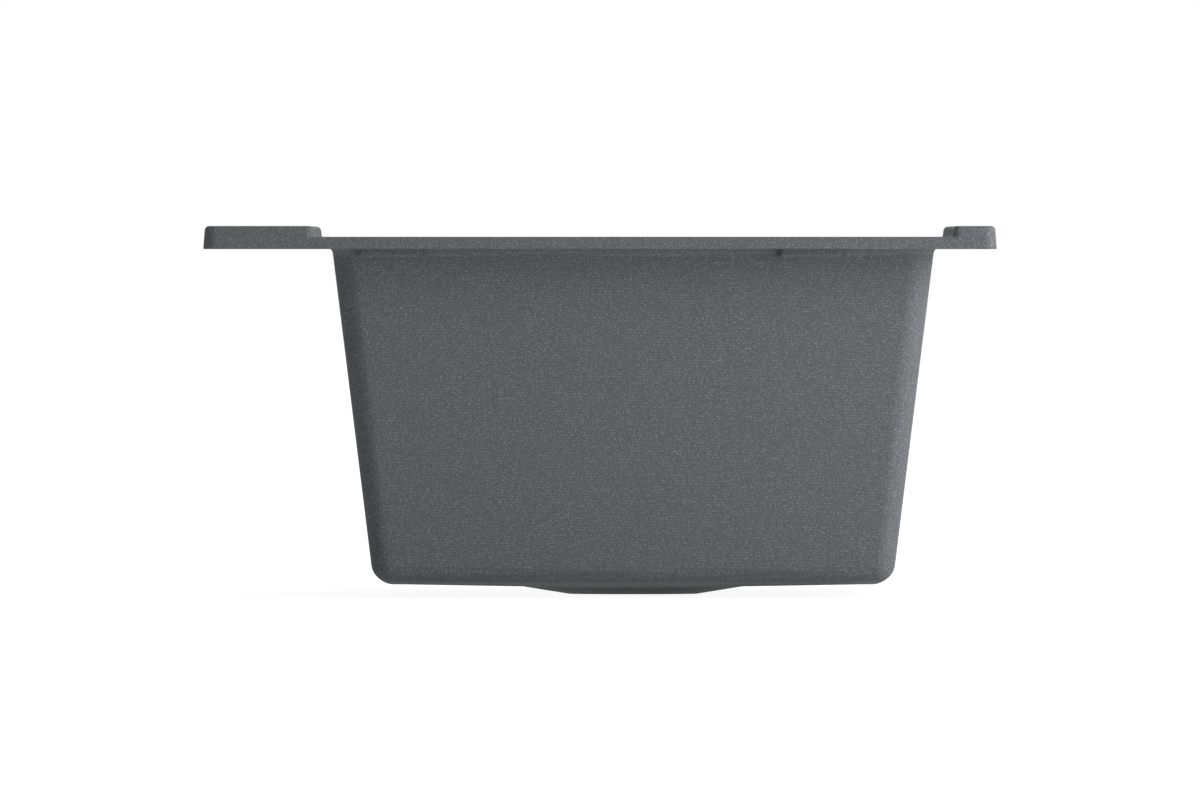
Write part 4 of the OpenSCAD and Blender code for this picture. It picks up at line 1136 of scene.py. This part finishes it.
class SINK_OT_cutting_board(bpy.types.Operator):
    """Build the cutting board: a panel of staves between two end battens, and its runners"""

    bl_idname = "sink.cutting_board"
    bl_label = "Cutting Board"

    def execute(self, context):
        kit, finish = context.scene.sink_kit, context.scene.sink_finish
        low, high = node_box("board_end_battens")
        panel_low, panel_high = node_box("board_panel")
        centre, half = (low + high) / 2, (high - low) / 2
        places = plan_places(40, 50, 10)
        slot_centre = panel_high[0] - kit.slot_inset, centre[1]
        for name, along, operation, gap in (
            ("panel", "X", "INTERSECT", -kit.joint / 2), ("end_battens", "Y", "DIFFERENCE", kit.joint / 2)
        ):
            block = slab(places, half[0], half[1], kit.board_corner, low[2], high[2], kit.board_edge, centre)
            piece = new_piece("wood_" + name, [block])
            carve(piece, [groove_tool(kit, places, half, high[2], centre)])
            carve(piece, [slot_tool(kit, places, low[2], high[2], slot_centre)])
            carve(piece, [board_divider(panel_low, panel_high, gap)], operation)
            wood = board_wood(finish, "oiled_staves_along_" + along.lower(), along, kit.stave)
            finish_piece(piece, wood, "cutting_board", "wood", "board_" + name)
        dowel_wood = board_wood(finish, "dowel_wood_along_x", "X", kit.stave)
        for slot in bpy.data.objects["board_dowels"].material_slots:
            slot.material = dowel_wood
        strips, silicone = runner_strips(kit, "board_runners"), soft_silicone(finish)
        dress("board_runner_strips", strips, silicone, "cutting_board", "silicone", "board_runners")
        return {"FINISHED"}


class SINK_OT_colander(bpy.types.Operator):
    """Build the colander: pressed tray, perforated screen, wire grips, runners and feet"""

    bl_idname = "sink.colander"
    bl_label = "Colander"

    def execute(self, context):
        kit, finish = context.scene.sink_kit, context.scene.sink_finish
        sheet, silicone = brushed_sheet(finish), soft_silicone(finish)
        dress("pressed_tray", [colander_sheet(kit)], sheet, "colander", "steel_sheet", "colander_tray")
        plate, holes = screen_sheet(kit)
        screen = new_piece("punched_screen", [plate])
        carve(screen, holes)
        finish_piece(screen, sheet, "colander", "steel_sheet", "colander_screen")
        wire, grips = polished_wire(finish), grip_wires(kit)
        dress("welded_grips", grips, wire, "colander", "steel_wire", "colander_grips")
        strips, pads = runner_strips(kit, "colander_runners"), colander_pads(kit)
        dress("colander_runner_strips", strips, silicone, "colander", "silicone", "colander_runners")
        dress("colander_foot_pads", pads, silicone, "colander", "silicone", "colander_feet")
        return {"FINISHED"}


def aimed(item, place, target):
    """Put a camera or lamp in a place, facing a target."""
    item.location = place
    item.rotation_euler = (target - place).to_track_quat("-Z", "Y").to_euler()
    bpy.context.scene.collection.objects.link(item)


def seen_directly(add):
    """One where the background is looked at, itself or in metal and glass, and zero for light on things."""
    path = add("LightPath", {})
    gloss = add("Math", {0: path["Is Glossy Ray"], 1: path["Is Transmission Ray"]}, operation="MAXIMUM")[0]
    return add("Math", {0: path["Is Camera Ray"], 1: gloss}, operation="MAXIMUM")[0]


def soft_sky(studio):
    """World that lights softly, most from overhead, from behind and from in front, and shows as plain white.

    Overhead, the light falls off with the third power of the height, and behind the far end, with the eighth
    power of the way along X. All of it is weaker at the back and stronger in front, by a share of Y.
    """
    world = bpy.data.worlds.new("soft_sky")
    world.use_nodes = True
    world.node_tree.nodes.clear()
    add = partial(add_node, world.node_tree)
    x, y, z = add("SeparateXYZ", {0: add("TexCoord", {})["Object"]})
    light = studio.sky
    for way, power, gain in ((z, 3.0, studio.sky_top), (x, 8.0, studio.sky_behind)):
        towards = add("Math", {0: way, 1: 0.0}, operation="MAXIMUM")[0]
        gathered = add("Math", {0: towards, 1: power}, operation="POWER")[0]
        light = add("Math", {0: gathered, 1: gain, 2: light}, operation="MULTIPLY_ADD")[0]
    front = add("Math", {0: y, 1: -studio.sky_lean, 2: 1.0}, operation="MULTIPLY_ADD")[0]
    strength = add("Math", {0: light, 1: front}, operation="MULTIPLY")[0]
    glow = add("Background", {"Color": WHITE, "Strength": strength})[0]
    white = add("Background", {"Color": WHITE, "Strength": 1.0})[0]
    add("OutputWorld", {"Surface": add("MixShader", {0: seen_directly(add), 1: glow, 2: white})[0]})
    return world


def pale_floor(studio):
    """Matte studio floor: it glows white where it is looked at, but for a share that shadows dim."""
    material = bpy.data.materials.new("pale_studio_floor")
    material.use_nodes = True
    material.node_tree.nodes.clear()
    add = partial(add_node, material.node_tree)
    matte = add("BsdfDiffuse", {"Color": tone(studio.floor_tone)})[0]
    glow = add("Emission", {"Color": WHITE, "Strength": studio.floor_glow})[0]
    share = add("Math", {0: seen_directly(add), 1: studio.floor_share}, operation="MULTIPLY")[0]
    add("OutputMaterial", {"Surface": add("MixShader", {0: share, 1: matte, 2: glow})[0]})
    return material


class SINK_OT_stage(bpy.types.Operator):
    """Set up the camera, the soft light and the pale floor"""

    bl_idname = "sink.stage"
    bl_label = "Studio"

    def execute(self, context):
        scene, studio = context.scene, context.scene.sink_studio
        scene.view_settings.view_transform = "Standard"
        near_end = BASIN_LOW[0]
        target = Vector((near_end, 0, studio.aim_height))
        camera = bpy.data.cameras.new("camera")
        camera.lens, camera.sensor_width = studio.lens, SENSOR
        distance = studio.view_width * studio.lens / SENSOR
        camera.clip_end = 4 * distance
        scene.camera = bpy.data.objects.new("camera", camera)
        aimed(scene.camera, Vector((near_end - distance, 0, studio.camera_height)), target)
        lamp = bpy.data.lights.new("key_lamp", "AREA")
        lamp.energy, lamp.size = studio.key, studio.key_size
        turn, rise = studio.key_turn, studio.key_rise
        heading = Vector((-np.cos(turn) * np.cos(rise), -np.sin(turn) * np.cos(rise), np.sin(rise)))
        aimed(bpy.data.objects.new("key_lamp", lamp), target + heading * studio.key_distance, target)
        scene.world = soft_sky(studio)
        corners = np.array([(-1, -1, 0), (1, -1, 0), (1, 1, 0), (-1, 1, 0)]) * studio.floor_size
        floor = new_piece("studio_floor", [(corners, [np.array([[0, 1, 2, 3]])])])
        floor.data.materials.append(pale_floor(studio))
        return {"FINISHED"}


SETTINGS = {
    "sink_basin": BasinSizes,
    "sink_kit": KitSizes,
    "sink_finish": SinkFinish,
    "sink_studio": StudioSetup,
}
STEPS = (
    SINK_OT_stage, SINK_OT_basin, SINK_OT_bottom_grid,
    SINK_OT_drain_cap, SINK_OT_cutting_board, SINK_OT_colander
)


class SINK_PT_panel(bpy.types.Panel):
    """The steps that build the sink, in order"""

    bl_label = "Workstation Sink"
    bl_idname = "SINK_PT_panel"
    bl_space_type = "VIEW_3D"
    bl_region_type = "UI"
    bl_category = "Sink"

    def draw(self, context):
        for step in STEPS:
            self.layout.operator(step.bl_idname)


def register():
    for kind in (*SETTINGS.values(), *STEPS, SINK_PT_panel):
        bpy.utils.register_class(kind)
    for name, group in SETTINGS.items():
        setattr(bpy.types.Scene, name, bpy.props.PointerProperty(type=group))


def unregister():
    for name in SETTINGS:
        delattr(bpy.types.Scene, name)
    for kind in reversed((*SETTINGS.values(), *STEPS, SINK_PT_panel)):
        bpy.utils.unregister_class(kind)


def main():
    register()
    for step in STEPS:
        group, name = step.bl_idname.split(".")
        getattr(getattr(bpy.ops, group), name)()


if __name__ == "__main__":
    main()
